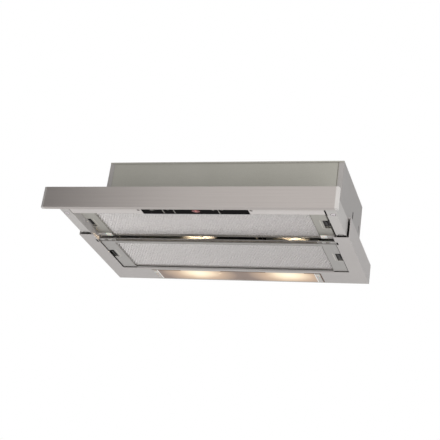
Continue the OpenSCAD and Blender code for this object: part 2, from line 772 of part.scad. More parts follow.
// Panel end cap with a rounded outer front edge
module panel_cap(left) at_hood() color("#c8c4c0") on_side(left) translate([0, 0, panel_bottom])
    linear_extrude(panel_h) difference() {
        translate([panel_in, -drawer_reach]) square([cap_w, panel_d]);
        translate([panel_in + cap_w - cap_round, -drawer_reach]) difference() {
            square([cap_round, cap_round]);
            translate([0, cap_round]) circle(r = cap_round);
        }
    }
module panel_cap_left() panel_cap(true);
module panel_cap_right() panel_cap(false);

// Opening of one key, through the strip and the control panel
module key_hole(x, w)
    block(x - key_gap, x + w + key_gap, key_front - key_gap, key_back + key_gap, bezel_z - cut, strip_top + cut);
module control_holes() {
    key_hole(light_key_x, light_key_w);
    key_hole(off_key_x, off_key_w);
    key_hole(slow_key_x, slow_key_w);
    key_hole(fast_key_x, fast_key_w);
    translate([lens_x, lens_y, bezel_z - cut]) lens_outline(strip_top - bezel_z + 2 * cut);
}
// Lens with straight sides and round ends
module lens_outline(h) {
    for (x = [-1, 1]) translate([x * (lens_w - lens_l) / 2, 0, 0]) cylinder(h = h, r = lens_l / 2);
    translate([-(lens_w - lens_l) / 2, -lens_l / 2, 0]) cube([lens_w - lens_l, lens_l, h]);
}

// Control strip across the drawer's front, with the upstand and lip that carry the front filter
module control_strip() at_hood() color("#b9b8b3") difference() {
    union() {
        block(-runner_in, runner_in, panel_back, strip_back, carriage_lift, strip_top);
        block(-runner_in, runner_in, strip_back - carriage_t, strip_back, strip_top, strip_top + upstand_h);
        block(-mesh_x, mesh_x, strip_back, strip_back + filter_lip, front_filter_z - carriage_t, front_filter_z);
    }
    control_holes();
}

// Black control panel under the strip
module control_bezel() at_hood() color("#14110e") difference() {
    block(bezel_left, bezel_right, bezel_front, bezel_y, bezel_z, carriage_lift);
    control_holes();
}

// Circuit board on its posts above the keys
module control_board() at_hood() color("#1d4d2e") {
    block(bezel_left, bezel_right, bezel_front - 3 * board_post_r, key_back,
        strip_top + board_z, strip_top + board_z + board_t);
    for (x = [bezel_left + board_post_r, bezel_right - board_post_r])
        translate([x, bezel_front - 2 * board_post_r, strip_top]) cylinder(h = board_z, r = board_post_r);
}

// Red lens of the display
module display_lens() at_hood() color("#b5403c") translate([lens_x, lens_y, bezel_z])
    lens_outline(strip_top + board_z - bezel_z);

// Push key that rises into the strip
module key(x, w) at_hood() color("#14110e") block(x, x + w, key_front, key_back, bezel_z, bezel_z + key_h);
module light_key() key(light_key_x, light_key_w);
module off_key() key(off_key_x, off_key_w);
module slow_key() key(slow_key_x, slow_key_w);
module fast_key() key(fast_key_x, fast_key_w);

// Carriage runner: a strip between two walls that slope down behind the panel, with the front latch's slot
module carriage_side(left) at_hood() color("#c2c1bc") on_side(left) difference() {
    union() {
        block(runner_in, runner_out, panel_back, carriage_back, carriage_lift, strip_top);
        block(runner_in, runner_in + carriage_t, panel_back, carriage_back, strip_top, carriage_top);
        block(runner_out - carriage_t, runner_out, panel_back, carriage_back, strip_top, carriage_top);
    }
    translate([runner_in - cut, front_latch_y - tongue_l / 2 - latch_gap, front_filter_z + latch_recess_h])
        cube([carriage_t + 2 * cut, tongue_l + 2 * latch_gap, latch_slot_h]);
    plate_x(runner_in - cut, runner_out + cut) polygon([
        [panel_back - cut, carriage_top - nose_h], [panel_back, carriage_top - nose_h],
        [panel_back + nose_l, carriage_top], [panel_back + nose_l, carriage_top + cut],
        [panel_back - cut, carriage_top + cut]
    ]);
}
module carriage_side_left() carriage_side(true);
module carriage_side_right() carriage_side(false);

// Rear bar between the runners, with a lip under the front filter's back corner at each end
module rear_bar() at_hood() color("#c2c1bc") {
    block(-runner_in, runner_in, front_filter_back, front_filter_back + carriage_t, front_filter_z,
        front_filter_z - carriage_t + rear_bar_h);
    for (left = [true, false]) on_side(left)
        block(clip_x + clip_w + run_gap, filter_x, front_filter_back - clip_l, front_filter_back + carriage_t,
            front_filter_z - carriage_t, front_filter_z);
}

// Gliders that stand in the runners' back ends and reach up into the rails
module rail_gliders() at_hood() color("#e9e7e1") for (left = [true, false]) on_side(left)
    block(rail_in + rail_t + run_gap, rail_out - rail_t - run_gap, carriage_back - glider_l, carriage_back,
        strip_top, rail_top - rail_t - run_gap);

// Screw heads under the runners
module strip_screws() at_hood() color("#8b8a86") for (left = [true, false], k = [0, 0.6]) on_side(left)
    translate([runner_in + 1 + pad_w + strip_screw_r + 1.5, strip_back * (1 - k), carriage_lift - strip_screw_h])
        cylinder(h = strip_screw_h, r = strip_screw_r);

// Recess and slot of one latch in the end of a filter whose underside is at z
module latch_cut(y, z) {
    block(filter_x - latch_w, filter_x + cut, y - latch_l / 2, y + latch_l / 2, z - cut, z + latch_recess_h);
    block(filter_x - latch_slot_w, filter_x + cut, y - latch_l / 2 + 3, y + latch_l / 2 - 3,
        z + latch_recess_h - 0.5, z + latch_recess_h + latch_slot_h);
}

// Filter frame with its latch slots, between two depths
module filter_frame(y0, y1, z, rim0, rim1, latch_y) difference() {
    block(-filter_x, filter_x, y0, y1, z, z + filter_t);
    block(-mesh_x, mesh_x, y0 + rim0, y1 - rim1, z - cut, z + filter_t + cut);
    for (left = [true, false]) on_side(left) latch_cut(latch_y, z);
}

// Mesh layers that fill a filter frame's opening
module filter_mesh(y0, y1, z, rim0, rim1)
    block(-mesh_x, mesh_x, y0 + rim0, y1 - rim1, z + mesh_inset, z + mesh_inset + mesh_t);

module front_filter_frame() at_hood() color("#a3a29c")
    filter_frame(strip_back, front_filter_back, front_filter_z, front_rim, back_rim, front_latch_y);
module front_filter_mesh() at_hood() color("#bfbbb9")
    filter_mesh(strip_back, front_filter_back, front_filter_z, front_rim, back_rim);
// The rear filter's frame thins to a lip along its front edge, with hook slots near its ends
module rear_filter_frame() at_hood() color("#a3a29c") difference() {
    filter_frame(rear_filter_front, rear_filter_back, rear_filter_z, lip_rim, tail_rim, rear_latch_y);
    for (z = [rear_filter_z + lip_t - filter_t, rear_filter_z + 2 * lip_t])
        block(-filter_x - cut, filter_x + cut, rear_filter_front - cut, rear_filter_front + lip_d, z, z + filter_t);
    for (left = [true, false], k = [0, 1]) on_side(left)
        translate([mesh_x - lip_slot_w / 2 + k * lip_slot_step, rear_filter_front + (lip_d - lip_slot_d) / 2,
            rear_filter_z - cut])
            cube([lip_slot_w, lip_slot_d, filter_t]);
}
module rear_filter_mesh() at_hood() color("#bfbbb9")
    filter_mesh(rear_filter_front, rear_filter_back, rear_filter_z, lip_rim, tail_rim);

// White clips under the front filter's back corners, held by the rear bar
module front_filter_clips() at_hood() color("#eceae4") for (left = [true, false]) on_side(left)
    block(clip_x, clip_x + clip_w, front_filter_back - clip_l, front_filter_back + carriage_t,
        front_filter_z - clip_t, front_filter_z);

// Slider with a finger tab below and a tongue that reaches to x1
module latch(y, z, x1) {
    x0 = filter_x - slider_w;
    z0 = z + latch_recess_h - 0.5 + latch_gap;
    z1 = z + latch_recess_h + latch_slot_h - latch_gap;
    block(x0, filter_x, y - latch_l / 2 + 3 + latch_gap, y + latch_l / 2 - 3 - latch_gap, z0, z1);
    block(x0 + slider_w / 2, x0 + slider_w / 2 + tab_w, y - latch_l / 3, y + latch_l / 3, z + 0.5, z0);
    block(filter_x, x1, y - tongue_l / 2, y + tongue_l / 2, z1 - tongue_t, z1);
}
module front_latch(left) at_hood() color("#3b3b3a") on_side(left)
    latch(front_latch_y, front_filter_z, runner_in + carriage_t + tongue_reach);
module rear_latch(left) at_hood() color("#3b3b3a") on_side(left)
    latch(rear_latch_y, rear_filter_z, foot_in - hold_gap);
module front_latch_left() front_latch(true);
module front_latch_right() front_latch(false);
module rear_latch_left() rear_latch(true);
module rear_latch_right() rear_latch(false);

casing_side_left();
casing_side_right();
housing_side_left();
housing_side_right();
housing_front();
back_wall();
top_plate();
front_ledge();
bottom_frame();
lamp_cover();
lamp_ends();
lamp_tray();
lamp_sockets();
bulbs();
fixed_rail_left();
fixed_rail_right();
rail_pads();
scroll_wall();
scroll_cheek_left();
scroll_cheek_right();
motor_bracket();
motor();
outlet_collar();
flap_axle();
terminal_box();
terminal_lid();
capacitor();
cable_gland();
end_switch();
front_panel();
panel_liner();
panel_cap_left();
panel_cap_right();
control_strip();
control_bezel();
control_board();
display_lens();
carriage_side_left();
carriage_side_right();
rear_bar();
rail_gliders();
strip_screws();
front_filter_frame();
front_filter_mesh();
front_filter_clips();
light_key();
off_key();
slow_key();
fast_key();
front_latch_left();
front_latch_right();
rear_filter_frame();
rear_filter_mesh();
rear_latch_left();
rear_latch_right();
impeller();
motor_shaft();
flap_front();
flap_rear();
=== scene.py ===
"""A pull out range hood, seen from below with its drawer out and its lamps lit."""
import math

import bmesh
import bpy
from mathutils import Matrix, Vector


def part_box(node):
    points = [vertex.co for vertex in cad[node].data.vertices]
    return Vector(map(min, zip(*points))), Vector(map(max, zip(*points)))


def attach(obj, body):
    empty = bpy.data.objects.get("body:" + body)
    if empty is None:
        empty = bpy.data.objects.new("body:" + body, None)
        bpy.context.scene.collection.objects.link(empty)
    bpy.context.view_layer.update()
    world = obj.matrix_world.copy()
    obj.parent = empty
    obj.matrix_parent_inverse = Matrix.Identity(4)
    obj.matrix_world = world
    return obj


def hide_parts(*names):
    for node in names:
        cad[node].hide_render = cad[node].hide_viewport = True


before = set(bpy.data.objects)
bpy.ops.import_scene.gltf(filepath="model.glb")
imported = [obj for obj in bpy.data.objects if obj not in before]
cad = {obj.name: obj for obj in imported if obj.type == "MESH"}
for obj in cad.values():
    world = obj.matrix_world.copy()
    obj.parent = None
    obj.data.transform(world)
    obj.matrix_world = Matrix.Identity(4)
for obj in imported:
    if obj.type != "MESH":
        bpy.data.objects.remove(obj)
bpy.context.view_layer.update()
MM = 0.001  # a millimetre in metres


# ---------------------------------------------------------------- the photograph's camera
# The camera stands low in front of the hood and to its right, and looks up at its filters. Its place, turn
# and lens come from the corners of the panel, casing, housing, filters and lamp window in the photograph.
eye = Vector((0.71355, -2.09325, -1.04302))
looked_at = Vector((0.00643, -0.1, -0.1303))
roll = math.radians(8.48468)
camera_data = bpy.data.cameras.new("photo_camera")
camera_data.sensor_fit = "HORIZONTAL"
camera_data.sensor_width = 36.0
camera_data.lens = 90.689
camera = bpy.data.objects.new("photo_camera", camera_data)
facing = (looked_at - eye).to_track_quat("-Z", "Y").to_matrix() @ Matrix.Rotation(roll, 3, "Z")
camera.matrix_world = Matrix.Translation(eye) @ facing.to_4x4()
bpy.context.scene.collection.objects.link(camera)
bpy.context.scene.camera = camera
bpy.context.scene.view_settings.view_transform = "Standard"


# ---------------------------------------------------------------- studio floor, world and lamps
# A plain pale floor lies far below the hood, in a white surround. One soft box stands low in front of the
# hood and one above its drawer. A dark card on the left gives the panel the darker end of the photograph.
def linear(code):
    """A hex sRGB colour as linear numbers."""
    parts = [int(code[i : i + 2], 16) / 255 for i in (1, 3, 5)]
    return tuple(p / 12.92 if p <= 0.04045 else ((p + 0.055) / 1.055) ** 2.4 for p in parts) + (1.0,)


def put(tree, kind, settings=None, links=None):
    """Adds a node. A setting is for a socket, a property or a ramp's stops, and a link goes into a socket."""
    node = tree.nodes.new(kind)
    for key, value in (settings or {}).items():
        if key == "stops":
            ramp = node.color_ramp
            while len(ramp.elements) < len(value):
                ramp.elements.new(0.5)
            for element, (place, code) in zip(ramp.elements, value):
                element.position = place
                element.color = linear(code)
        elif isinstance(key, str) and key not in node.inputs:
            setattr(node, key, value)
        else:
            node.inputs[key].default_value = value
    for key, (source, output) in (links or {}).items():
        tree.links.new(source.outputs[output], node.inputs[key])
    return node


def start(name):
    """A new material with an empty tree, and the output that says where each of its points lies."""
    material = bpy.data.materials.new(name)
    material.use_nodes = True
    tree = material.node_tree
    tree.nodes.clear()
    return material, tree, (put(tree, "ShaderNodeTexCoord"), "Object")


def mottled(name, patch_mm, stops, settings, detail=2.0, tinted="Base Color"):
    """A material whose colour wanders between two tones, in patches of one size."""
    material, tree, here = start(name)
    patch = put(tree, "ShaderNodeTexNoise", {"Scale": 1 / (patch_mm * MM), "Detail": detail},
        {"Vector": here})
    tone = put(tree, "ShaderNodeValToRGB", {"stops": stops}, {"Fac": (patch, "Fac")})
    shader = put(tree, "ShaderNodeBsdfPrincipled", settings, {tinted: (tone, 0)})
    put(tree, "ShaderNodeOutputMaterial", {}, {"Surface": (shader, 0)})
    return material


def link_piece(name, mesh, material=None):
    """An object for a mesh that is already in its place."""
    piece = bpy.data.objects.new(name, mesh)
    bpy.context.scene.collection.objects.link(piece)
    if material:
        mesh.materials.clear()
        mesh.materials.append(material)
    return piece


# The surround is dim where it lights the hood, and white where the camera, metal or glass shows it
light_on_hood = 0.42
light_seen = 1.0
surround = bpy.data.worlds.new("white_studio")
bpy.context.scene.world = surround
surround.use_nodes = True
tree = surround.node_tree
tree.nodes.clear()
ray = put(tree, "ShaderNodeLightPath")
seen = put(tree, "ShaderNodeMath", {"operation": "MAXIMUM"},
    {0: (ray, "Is Camera Ray"), 1: (ray, "Is Glossy Ray")})
seen = put(tree, "ShaderNodeMath", {"operation": "MAXIMUM"}, {0: (seen, 0), 1: (ray, "Is Transmission Ray")})
dim = put(tree, "ShaderNodeBackground", {"Color": linear("#F6F7FA"), "Strength": light_on_hood})
white = put(tree, "ShaderNodeBackground", {"Color": (1, 1, 1, 1), "Strength": light_seen})
both = put(tree, "ShaderNodeMixShader", {}, {0: (seen, 0), 1: (dim, 0), 2: (white, 0)})
put(tree, "ShaderNodeOutputWorld", {}, {"Surface": (both, 0)})

# Matt floor paint: rolled on, so it has no gloss, only a faint mottle about 30 cm across
mottle_mm = 333.3
floor_paint = mottled("matt_floor_paint", mottle_mm, [(0.3, "#F1F1EF"), (0.7, "#F6F6F5")],
    {"Roughness": 0.9}, detail=4.0)


def stand(name, corners, material):
    """A flat four cornered thing of the studio, which isn't part of the hood."""
    mesh = bpy.data.meshes.new(name)
    mesh.from_pydata(corners, [], [(0, 1, 2, 3)])
    piece = link_piece(name, mesh, material)
    return piece


floor_z = -2.6
floor_half = 9.0
floor_corners = [(x * floor_half, y * floor_half, floor_z) for x, y in ((-1, -1), (1, -1), (1, 1), (-1, 1))]
stand("studio_floor", floor_corners, floor_paint)


def soft_box(name, place, aim, size, power, colour):
    """A flat lamp that faces a point."""
    data = bpy.data.lights.new(name, "AREA")
    data.shape = "RECTANGLE"
    data.size, data.size_y = size
    data.energy = power
    data.color = linear(colour)[:3]
    lamp = bpy.data.objects.new(name, data)
    facing = (Vector(aim) - Vector(place)).to_track_quat("-Z", "Y")
    lamp.matrix_world = Matrix.Translation(Vector(place)) @ facing.to_matrix().to_4x4()
    bpy.context.scene.collection.objects.link(lamp)
    return lamp


studio_white = "#FFFCFA"
front_box = soft_box("front_box", place=(1.0, -2.1, -1.2), aim=(0.1, -0.1, -0.1), size=(1.2, 1.0), power=36.0,
    colour=studio_white)
front_box.visible_glossy = False
top_box = soft_box("top_box", place=(0.5, -0.85, 0.4), aim=(0.22, -0.11, -0.05), size=(0.35, 0.25), power=2.0,
    colour=studio_white)
top_box.visible_glossy = False

# The ceiling lamp lights the floor, which lights the hood's underside
ceiling_data = bpy.data.lights.new("ceiling_lamp", "SUN")
ceiling_data.energy = 1.5
ceiling_data.angle = 0.5
ceiling = bpy.data.objects.new("ceiling_lamp", ceiling_data)
ceiling.visible_glossy = False
bpy.context.scene.collection.objects.link(ceiling)

# Dark card: pressed paper, matt, with faint clouds 17 mm across. The steel mirrors it, unseen by the camera.
cloud_mm = 16.67
grey_card = mottled("grey_card", cloud_mm, [(0.3, "#1C1B1A"), (0.7, "#242322")], {"Roughness": 0.9})
near, far = (-0.95, -1.85), (-1.9, -0.55)
foot, top = -0.35, 1.25
card_corners = [(*far, foot), (*near, foot), (*near, top), (*far, top)]
card = stand("grey_card", card_corners, grey_card)
card.visible_camera = False


# ---------------------------------------------------------------- lower casing
# The lower casing is folded from silver grey coated steel sheet: two sides with their feet and ledges, a
# sheet behind the rear filter and a ledge behind the panel. It is riveted and spot welded, so no screws show.
def coated_sheet(name, dark, light, metallic, roughness):
    """Coil coated steel: a smooth coat with fine metal flake, and the faint peel of a rolled coat."""
    # Flake is under 0.1 mm across, and is drawn 2 mm across, so that it shows. Peel is about 6 mm across.
    flake_mm, shade_mm, peel_mm = 1.923, 111.1, 5.556
    flake_share, cloud_share, base = 0.45, 0.5, 0.28
    material, tree, here = start(name)
    flake = put(tree, "ShaderNodeTexNoise", {"Scale": 1 / (flake_mm * MM), "Detail": 2.0}, {"Vector": here})
    cloud = put(tree, "ShaderNodeTexNoise", {"Scale": 1 / (shade_mm * MM), "Detail": 3.0}, {"Vector": here})
    blend = put(tree, "ShaderNodeMath", {"operation": "MULTIPLY_ADD", 1: flake_share, 2: base},
        {0: (flake, "Fac")})
    blend = put(tree, "ShaderNodeMath", {"operation": "MULTIPLY_ADD", 1: cloud_share},
        {0: (cloud, "Fac"), 2: (blend, 0)})
    tone = put(tree, "ShaderNodeValToRGB", {"stops": [(0.55, dark), (0.95, light)]}, {"Fac": (blend, 0)})
    peel = put(tree, "ShaderNodeTexNoise", {"Scale": 1 / (peel_mm * MM), "Detail": 1.0}, {"Vector": here})
    bump = put(tree, "ShaderNodeBump", {"Strength": 0.05, "Distance": 0.4 * MM}, {"Height": (peel, "Fac")})
    gloss = put(tree, "ShaderNodeMapRange", {"To Min": roughness - 0.05, "To Max": roughness + 0.07},
        {"Value": (cloud, "Fac")})
    shader = put(tree, "ShaderNodeBsdfPrincipled", {"Metallic": metallic, "Specular IOR Level": 0.22},
        {"Base Color": (tone, 0), "Roughness": (gloss, 0), "Normal": (bump, 0)})
    put(tree, "ShaderNodeOutputMaterial", {}, {"Surface": (shader, 0)})
    return material


def dress(material, *names):
    """Gives CAD nodes a material."""
    for name in names:
        slots = cad[name].data.materials
        for i in range(len(slots)):
            slots[i] = material


casing_coat = coated_sheet("silver_grey_coated_steel", "#A9A5A3", "#B5B1AF", 0.15, 0.5)
dress(casing_coat, "casing_side_left", "casing_side_right", "bottom_frame", "front_ledge")


# ---------------------------------------------------------------- upper housing
# The upper housing is a box of darker grey coated sheet on the casing's ledges: a front behind two side
# flanges, two sides with their slots, a back and a top. The back is spot welded along its edges.
housing_coat = coated_sheet("grey_coated_steel", "#9E9D94", "#AAA8A1", 0.15, 0.5)
side_coat = coated_sheet("warm_grey_coated_steel", "#9A9795", "#A6A3A1", 0.1, 0.52)
dress(housing_coat, "housing_front", "top_plate")
dress(side_coat, "housing_side_left", "housing_side_right")


def side_of(node, side):
    """Where one side of a node lies, in millimetres."""
    place = ("left", "front", "bottom", "right", "back", "top").index(side)
    return round(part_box(node)[place // 3][place % 3] / MM, 2)


def laid(name, runs, width, material, body, level=None, outward=(0, 0, -1)):
    """Flat lines that lie on a face and stand a little proud of it, as runs of points in millimetres."""
    height = 0.12
    outward = Vector(outward)
    proud = outward * height
    band = bmesh.new()
    for run in runs:
        points = [Vector((*point, level)) if len(point) == 2 else Vector(point) for point in run]
        for first, last in zip(points, points[1:]):
            along = (last - first).normalized() * width / 2
            across = along.cross(outward)
            near, far = first - along, last + along
            corners = [near - across, far - across, far + across, near + across]
            inner = [band.verts.new((c - proud) * MM) for c in corners]
            outer = [band.verts.new((c + proud) * MM) for c in corners]
            band.faces.new(inner)
            band.faces.new(outer)
            for i in range(4):
                band.faces.new((inner[i], inner[i - 3], outer[i - 3], outer[i]))
    bmesh.ops.recalc_face_normals(band, faces=band.faces[:])
    mesh = bpy.data.meshes.new(name)
    band.to_mesh(mesh)
    band.free()
    piece = link_piece(name, mesh, material)
    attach(piece, body)


def matt_band_material(name, dark, light):
    """A matt band material, laid for joints and for painted shade, with dark pores about a millimetre and a
    half apart.
    """
    pore_mm = 1.4286
    return mottled(name, pore_mm, [(0.35, dark), (0.65, light)],
        {"Roughness": 0.9, "Specular IOR Level": 0.1})


# Black painted shade lies just inside each slot of the side sheets, and grey compound fills the thin joints;
# the grey is also laid as painted shade
black_shade = matt_band_material("black_painted_shade", "#141312", "#23211F")
grey_joint_and_shade = matt_band_material("grey_joint_compound_and_painted_shade", "#5C5853", "#716C66")
slot_shade_x = side_of("housing_side_right", "right") - 0.15
slot_width, slot_foot, slot_head = 9.0, -74.0, -52.0
slot_places = (18.5, 88.5)
for side, x in (("left", -slot_shade_x), ("right", slot_shade_x)):
    slots = [[(x, y, slot_foot), (x, y, slot_head)] for y in slot_places]
    laid(side + "_slot_shade", slots, slot_width, black_shade, "housing",
        outward=(-x / slot_shade_x, 0, 0))


def opened(material):
    """A finished material's tree, its shader, the node of its colour, and where each of its points lies."""
    tree = material.node_tree
    shader = next(node for node in tree.nodes if node.bl_idname == "ShaderNodeBsdfPrincipled")
    tone = shader.inputs["Base Color"].links[0].from_node
    return tree, shader, tone, (put(tree, "ShaderNodeTexCoord"), "Object")


# Spot welds leave two rows of shallow round dents in the back sheet, where the coat is a little darker
weld_step, weld_rows = 64 * MM, 164 * MM
upper_row = -9 * MM
weld_flat, weld_edge = 1.5 * MM, 3.5 * MM
back_coat = coated_sheet("spot_welded_coated_steel", "#9E9D94", "#AAA8A1", 0.1, 0.5)
tree, shader, tone, here = opened(back_coat)
peel = shader.inputs["Normal"].links[0].from_node
parts = put(tree, "ShaderNodeSeparateXYZ", {}, {0: here})
beside = put(tree, "ShaderNodeMath", {"operation": "PINGPONG", 1: weld_step / 2}, {0: (parts, "X")})
lifted = put(tree, "ShaderNodeMath", {"operation": "SUBTRACT", 1: upper_row}, {0: (parts, "Z")})
above = put(tree, "ShaderNodeMath", {"operation": "PINGPONG", 1: weld_rows / 2}, {0: (lifted, 0)})
gap = put(tree, "ShaderNodeCombineXYZ", {}, {"X": (beside, 0), "Y": (above, 0)})
gap = put(tree, "ShaderNodeVectorMath", {"operation": "LENGTH"}, {0: (gap, 0)})
dent = put(tree, "ShaderNodeMapRange", {"From Min": weld_flat, "From Max": weld_edge},
    {"Value": (gap, "Value")})
worn = put(tree, "ShaderNodeValToRGB", {"stops": [(0.0, "#C9C9C6"), (0.5, "#B5B5B2"), (1.0, "#FFFFFF")]},
    {"Fac": (dent, 0)})
worn = put(tree, "ShaderNodeMix", {"data_type": "RGBA", "blend_type": "MULTIPLY", 0: 1.0},
    {6: (tone, 0), 7: (worn, 0)})
tree.links.new(worn.outputs[2], shader.inputs["Base Color"])
dented = put(tree, "ShaderNodeBump", {"Strength": 0.7, "Distance": 0.8 * MM},
    {"Height": (dent, 0), "Normal": (peel, 0)})
tree.links.new(dented.outputs[0], shader.inputs["Normal"])
dress(back_coat, "back_wall")

# Each foot has a small black spot of painted shade at its inner edge, beside the rear filter's front corner
foot_z = side_of("casing_side_left", "bottom")
shade_spot_x, shade_spot_width = 259.9, 3.6
shade_spots = [[(-shade_spot_x, -107.0), (-shade_spot_x, -98.0)], [(shade_spot_x, -108.0), (shade_spot_x, -100.0)]]
laid("foot_shade_spots", shade_spots, shade_spot_width, black_shade, "housing", foot_z)

# A thin joint runs down the right flange's inner edge, where it meets the front sheet
flange_x = side_of("housing_side_right", "left")
flange_y = side_of("housing_side_right", "front")
flange_foot = side_of("housing_side_right", "bottom") + 1.0
flange_head = side_of("housing_side_right", "top") - 1.0
flange_edge = [(flange_x, flange_y, flange_foot), (flange_x, flange_y, flange_head)]
laid("housing_joint", [flange_edge], 0.8, grey_joint_and_shade, "housing", outward=(0, -1, 0))


# ---------------------------------------------------------------- front panel
# The front panel is a folded stainless sheet, brushed along its width, between two satin silver caps of ABS.
# A coated liner closes its back.
def brushed_metal(name, dark, light, roughness, along, spacing_mm, strength):
    """Brushed metal: fine scratches along one axis, which stretch its reflections across them."""
    length_mm, shade_mm = 250.0, 166.7
    cloud_share = 0.3
    material, tree, here = start(name)
    scale = [1 / ((length_mm if axis == along else spacing_mm) * MM) for axis in "XYZ"]
    turn = put(tree, "ShaderNodeMapping", {"Scale": scale}, {"Vector": here})
    scratch = put(tree, "ShaderNodeTexNoise", {"Scale": 1.0, "Detail": 3.0, "Roughness": 0.6},
        {"Vector": (turn, 0)})
    cloud = put(tree, "ShaderNodeTexNoise", {"Scale": 1 / (shade_mm * MM), "Detail": 2.0}, {"Vector": here})
    blend = put(tree, "ShaderNodeMath", {"operation": "MULTIPLY_ADD", 1: cloud_share},
        {0: (cloud, "Fac"), 2: (scratch, "Fac")})
    tone = put(tree, "ShaderNodeValToRGB", {"stops": [(0.4, dark), (0.9, light)]}, {"Fac": (blend, 0)})
    gloss = put(tree, "ShaderNodeMapRange", {"To Min": roughness - 0.07, "To Max": roughness + 0.09},
        {"Value": (scratch, "Fac")})
    bump = put(tree, "ShaderNodeBump", {"Strength": strength, "Distance": 0.2 * MM},
        {"Height": (scratch, "Fac")})
    shader = put(tree, "ShaderNodeBsdfPrincipled", {"Metallic": 1.0},
        {"Base Color": (tone, 0), "Roughness": (gloss, 0), "Normal": (bump, 0)})
    put(tree, "ShaderNodeOutputMaterial", {}, {"Surface": (shader, 0)})
    return material


# Scratches of a brushed sheet are under 0.3 mm apart. They are drawn 2 mm apart, so that they show.
scratch_mm = 2.0
panel_steel = brushed_metal("brushed_stainless_steel", "#B7B0AC", "#C1BAB6", 0.36, "X", scratch_mm, 0.03)
dress(panel_steel, "front_panel")


def moulded_plastic(name, dark, light, roughness, grain_mm, strength, soft=0.0, metallic=0.0):
    """Moulded plastic: one colour through and through, with the fine spark grain of its mould."""
    # Real grain is about 0.2 mm wide. It is drawn about 1 mm wide, and wider where the mould was polished.
    shade_mm = 33.33
    material, tree, here = start(name)
    grain = put(tree, "ShaderNodeTexVoronoi", {"Scale": 1.0 / (grain_mm * MM)}, {"Vector": here})
    cloud = put(tree, "ShaderNodeTexNoise", {"Scale": 1 / (shade_mm * MM), "Detail": 3.0}, {"Vector": here})
    tone = put(tree, "ShaderNodeValToRGB", {"stops": [(0.3, dark), (0.7, light)]}, {"Fac": (cloud, "Fac")})
    gloss = put(tree, "ShaderNodeMapRange", {"To Min": roughness - 0.06, "To Max": roughness + 0.06},
        {"Value": (cloud, "Fac")})
    bump = put(tree, "ShaderNodeBump", {"Strength": strength, "Distance": 0.2 * MM},
        {"Height": (grain, "Distance")})
    shader = put(tree, "ShaderNodeBsdfPrincipled",
        {"Metallic": metallic, "Subsurface Weight": soft, "Subsurface Scale": 2 * MM},
        {"Base Color": (tone, 0), "Roughness": (gloss, 0), "Normal": (bump, 0)})
    put(tree, "ShaderNodeOutputMaterial", {}, {"Surface": (shader, 0)})
    return material


# The caps' ABS is painted, so its grain is half filled and its metal flake gives a satin shine
cap_plastic = moulded_plastic("silver_painted_abs", "#C8C4C1", "#D2CFCC", 0.34, 1.2, 0.1, metallic=0.75)
dress(cap_plastic, "panel_cap_left", "panel_cap_right")
dress(casing_coat, "panel_liner")


# ---------------------------------------------------------------- control strip
# A coated sheet behind the panel carries a black gloss bezel with four keys and a red display, lit from the
# circuit board above it. The pale lines and symbols are printed on the black faces.
strip_coat = coated_sheet("light_grey_coated_steel", "#BFBAB7", "#CBC6C4", 0.15, 0.48)
dress(strip_coat, "control_strip")
strip_z = side_of("control_strip", "bottom")
bezel_z = side_of("control_bezel", "bottom")

# Black gloss acrylic: cast and polished, so only a faint haze of rubs, 17 mm wide, breaks its mirror
rub_mm = 16.67
black_gloss, tree, here = start("black_gloss_acrylic")
rub = put(tree, "ShaderNodeTexNoise", {"Scale": 1 / (rub_mm * MM), "Detail": 5.0}, {"Vector": here})
gloss = put(tree, "ShaderNodeMapRange", {"To Min": 0.3, "To Max": 0.42}, {"Value": (rub, "Fac")})
tone = put(tree, "ShaderNodeValToRGB", {"stops": [(0.3, "#060505"), (0.8, "#0B0A09")]}, {"Fac": (rub, "Fac")})
shader = put(tree, "ShaderNodeBsdfPrincipled", {"IOR": 1.2, "Specular IOR Level": 0.04},
    {"Base Color": (tone, 0), "Roughness": (gloss, 0)})
put(tree, "ShaderNodeOutputMaterial", {}, {"Surface": (shader, 0)})
dress(black_gloss, "control_bezel", "light_key", "off_key", "slow_key", "fast_key", "display_lens")

# Clear red acrylic over the lit digit: brightest in the middle, where the lamp behind it sits
window_middle = Vector((6.5, -246.5, bezel_z)) * MM
window_half = Vector((8.5, 6.0, 0.3)) * MM
fade_per_metre = (110.0, 150.0, 0.0)
red_acrylic, tree, here = start("clear_red_acrylic")
away = put(tree, "ShaderNodeVectorMath", {"operation": "SUBTRACT", 1: window_middle}, {0: here})
away = put(tree, "ShaderNodeVectorMath", {"operation": "MULTIPLY", 1: fade_per_metre}, {0: (away, 0)})
away = put(tree, "ShaderNodeVectorMath", {"operation": "LENGTH"}, {0: (away, 0)})
glow = put(tree, "ShaderNodeValToRGB", {"stops": [(0.0, "#F6B8B4"), (0.4, "#B24A49"), (1.0, "#4A1012")]},
    {"Fac": (away, "Value")})
shader = put(tree, "ShaderNodeBsdfPrincipled",
    {"Base Color": linear("#5A1416"), "Roughness": 0.2, "IOR": 1.49, "Emission Strength": 0.14},
    {"Emission Color": (glow, 0)})
put(tree, "ShaderNodeOutputMaterial", {}, {"Surface": (shader, 0)})
window = bmesh.new()
bmesh.ops.create_uvsphere(window, u_segments=32, v_segments=12, radius=1.0)
window.transform(Matrix.Translation(window_middle) @ Matrix.Diagonal((*window_half, 1.0)))
mesh = bpy.data.meshes.new("display_window")
window.to_mesh(mesh)
window.free()
piece = link_piece("display_window", mesh, red_acrylic)
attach(piece, "drawer")

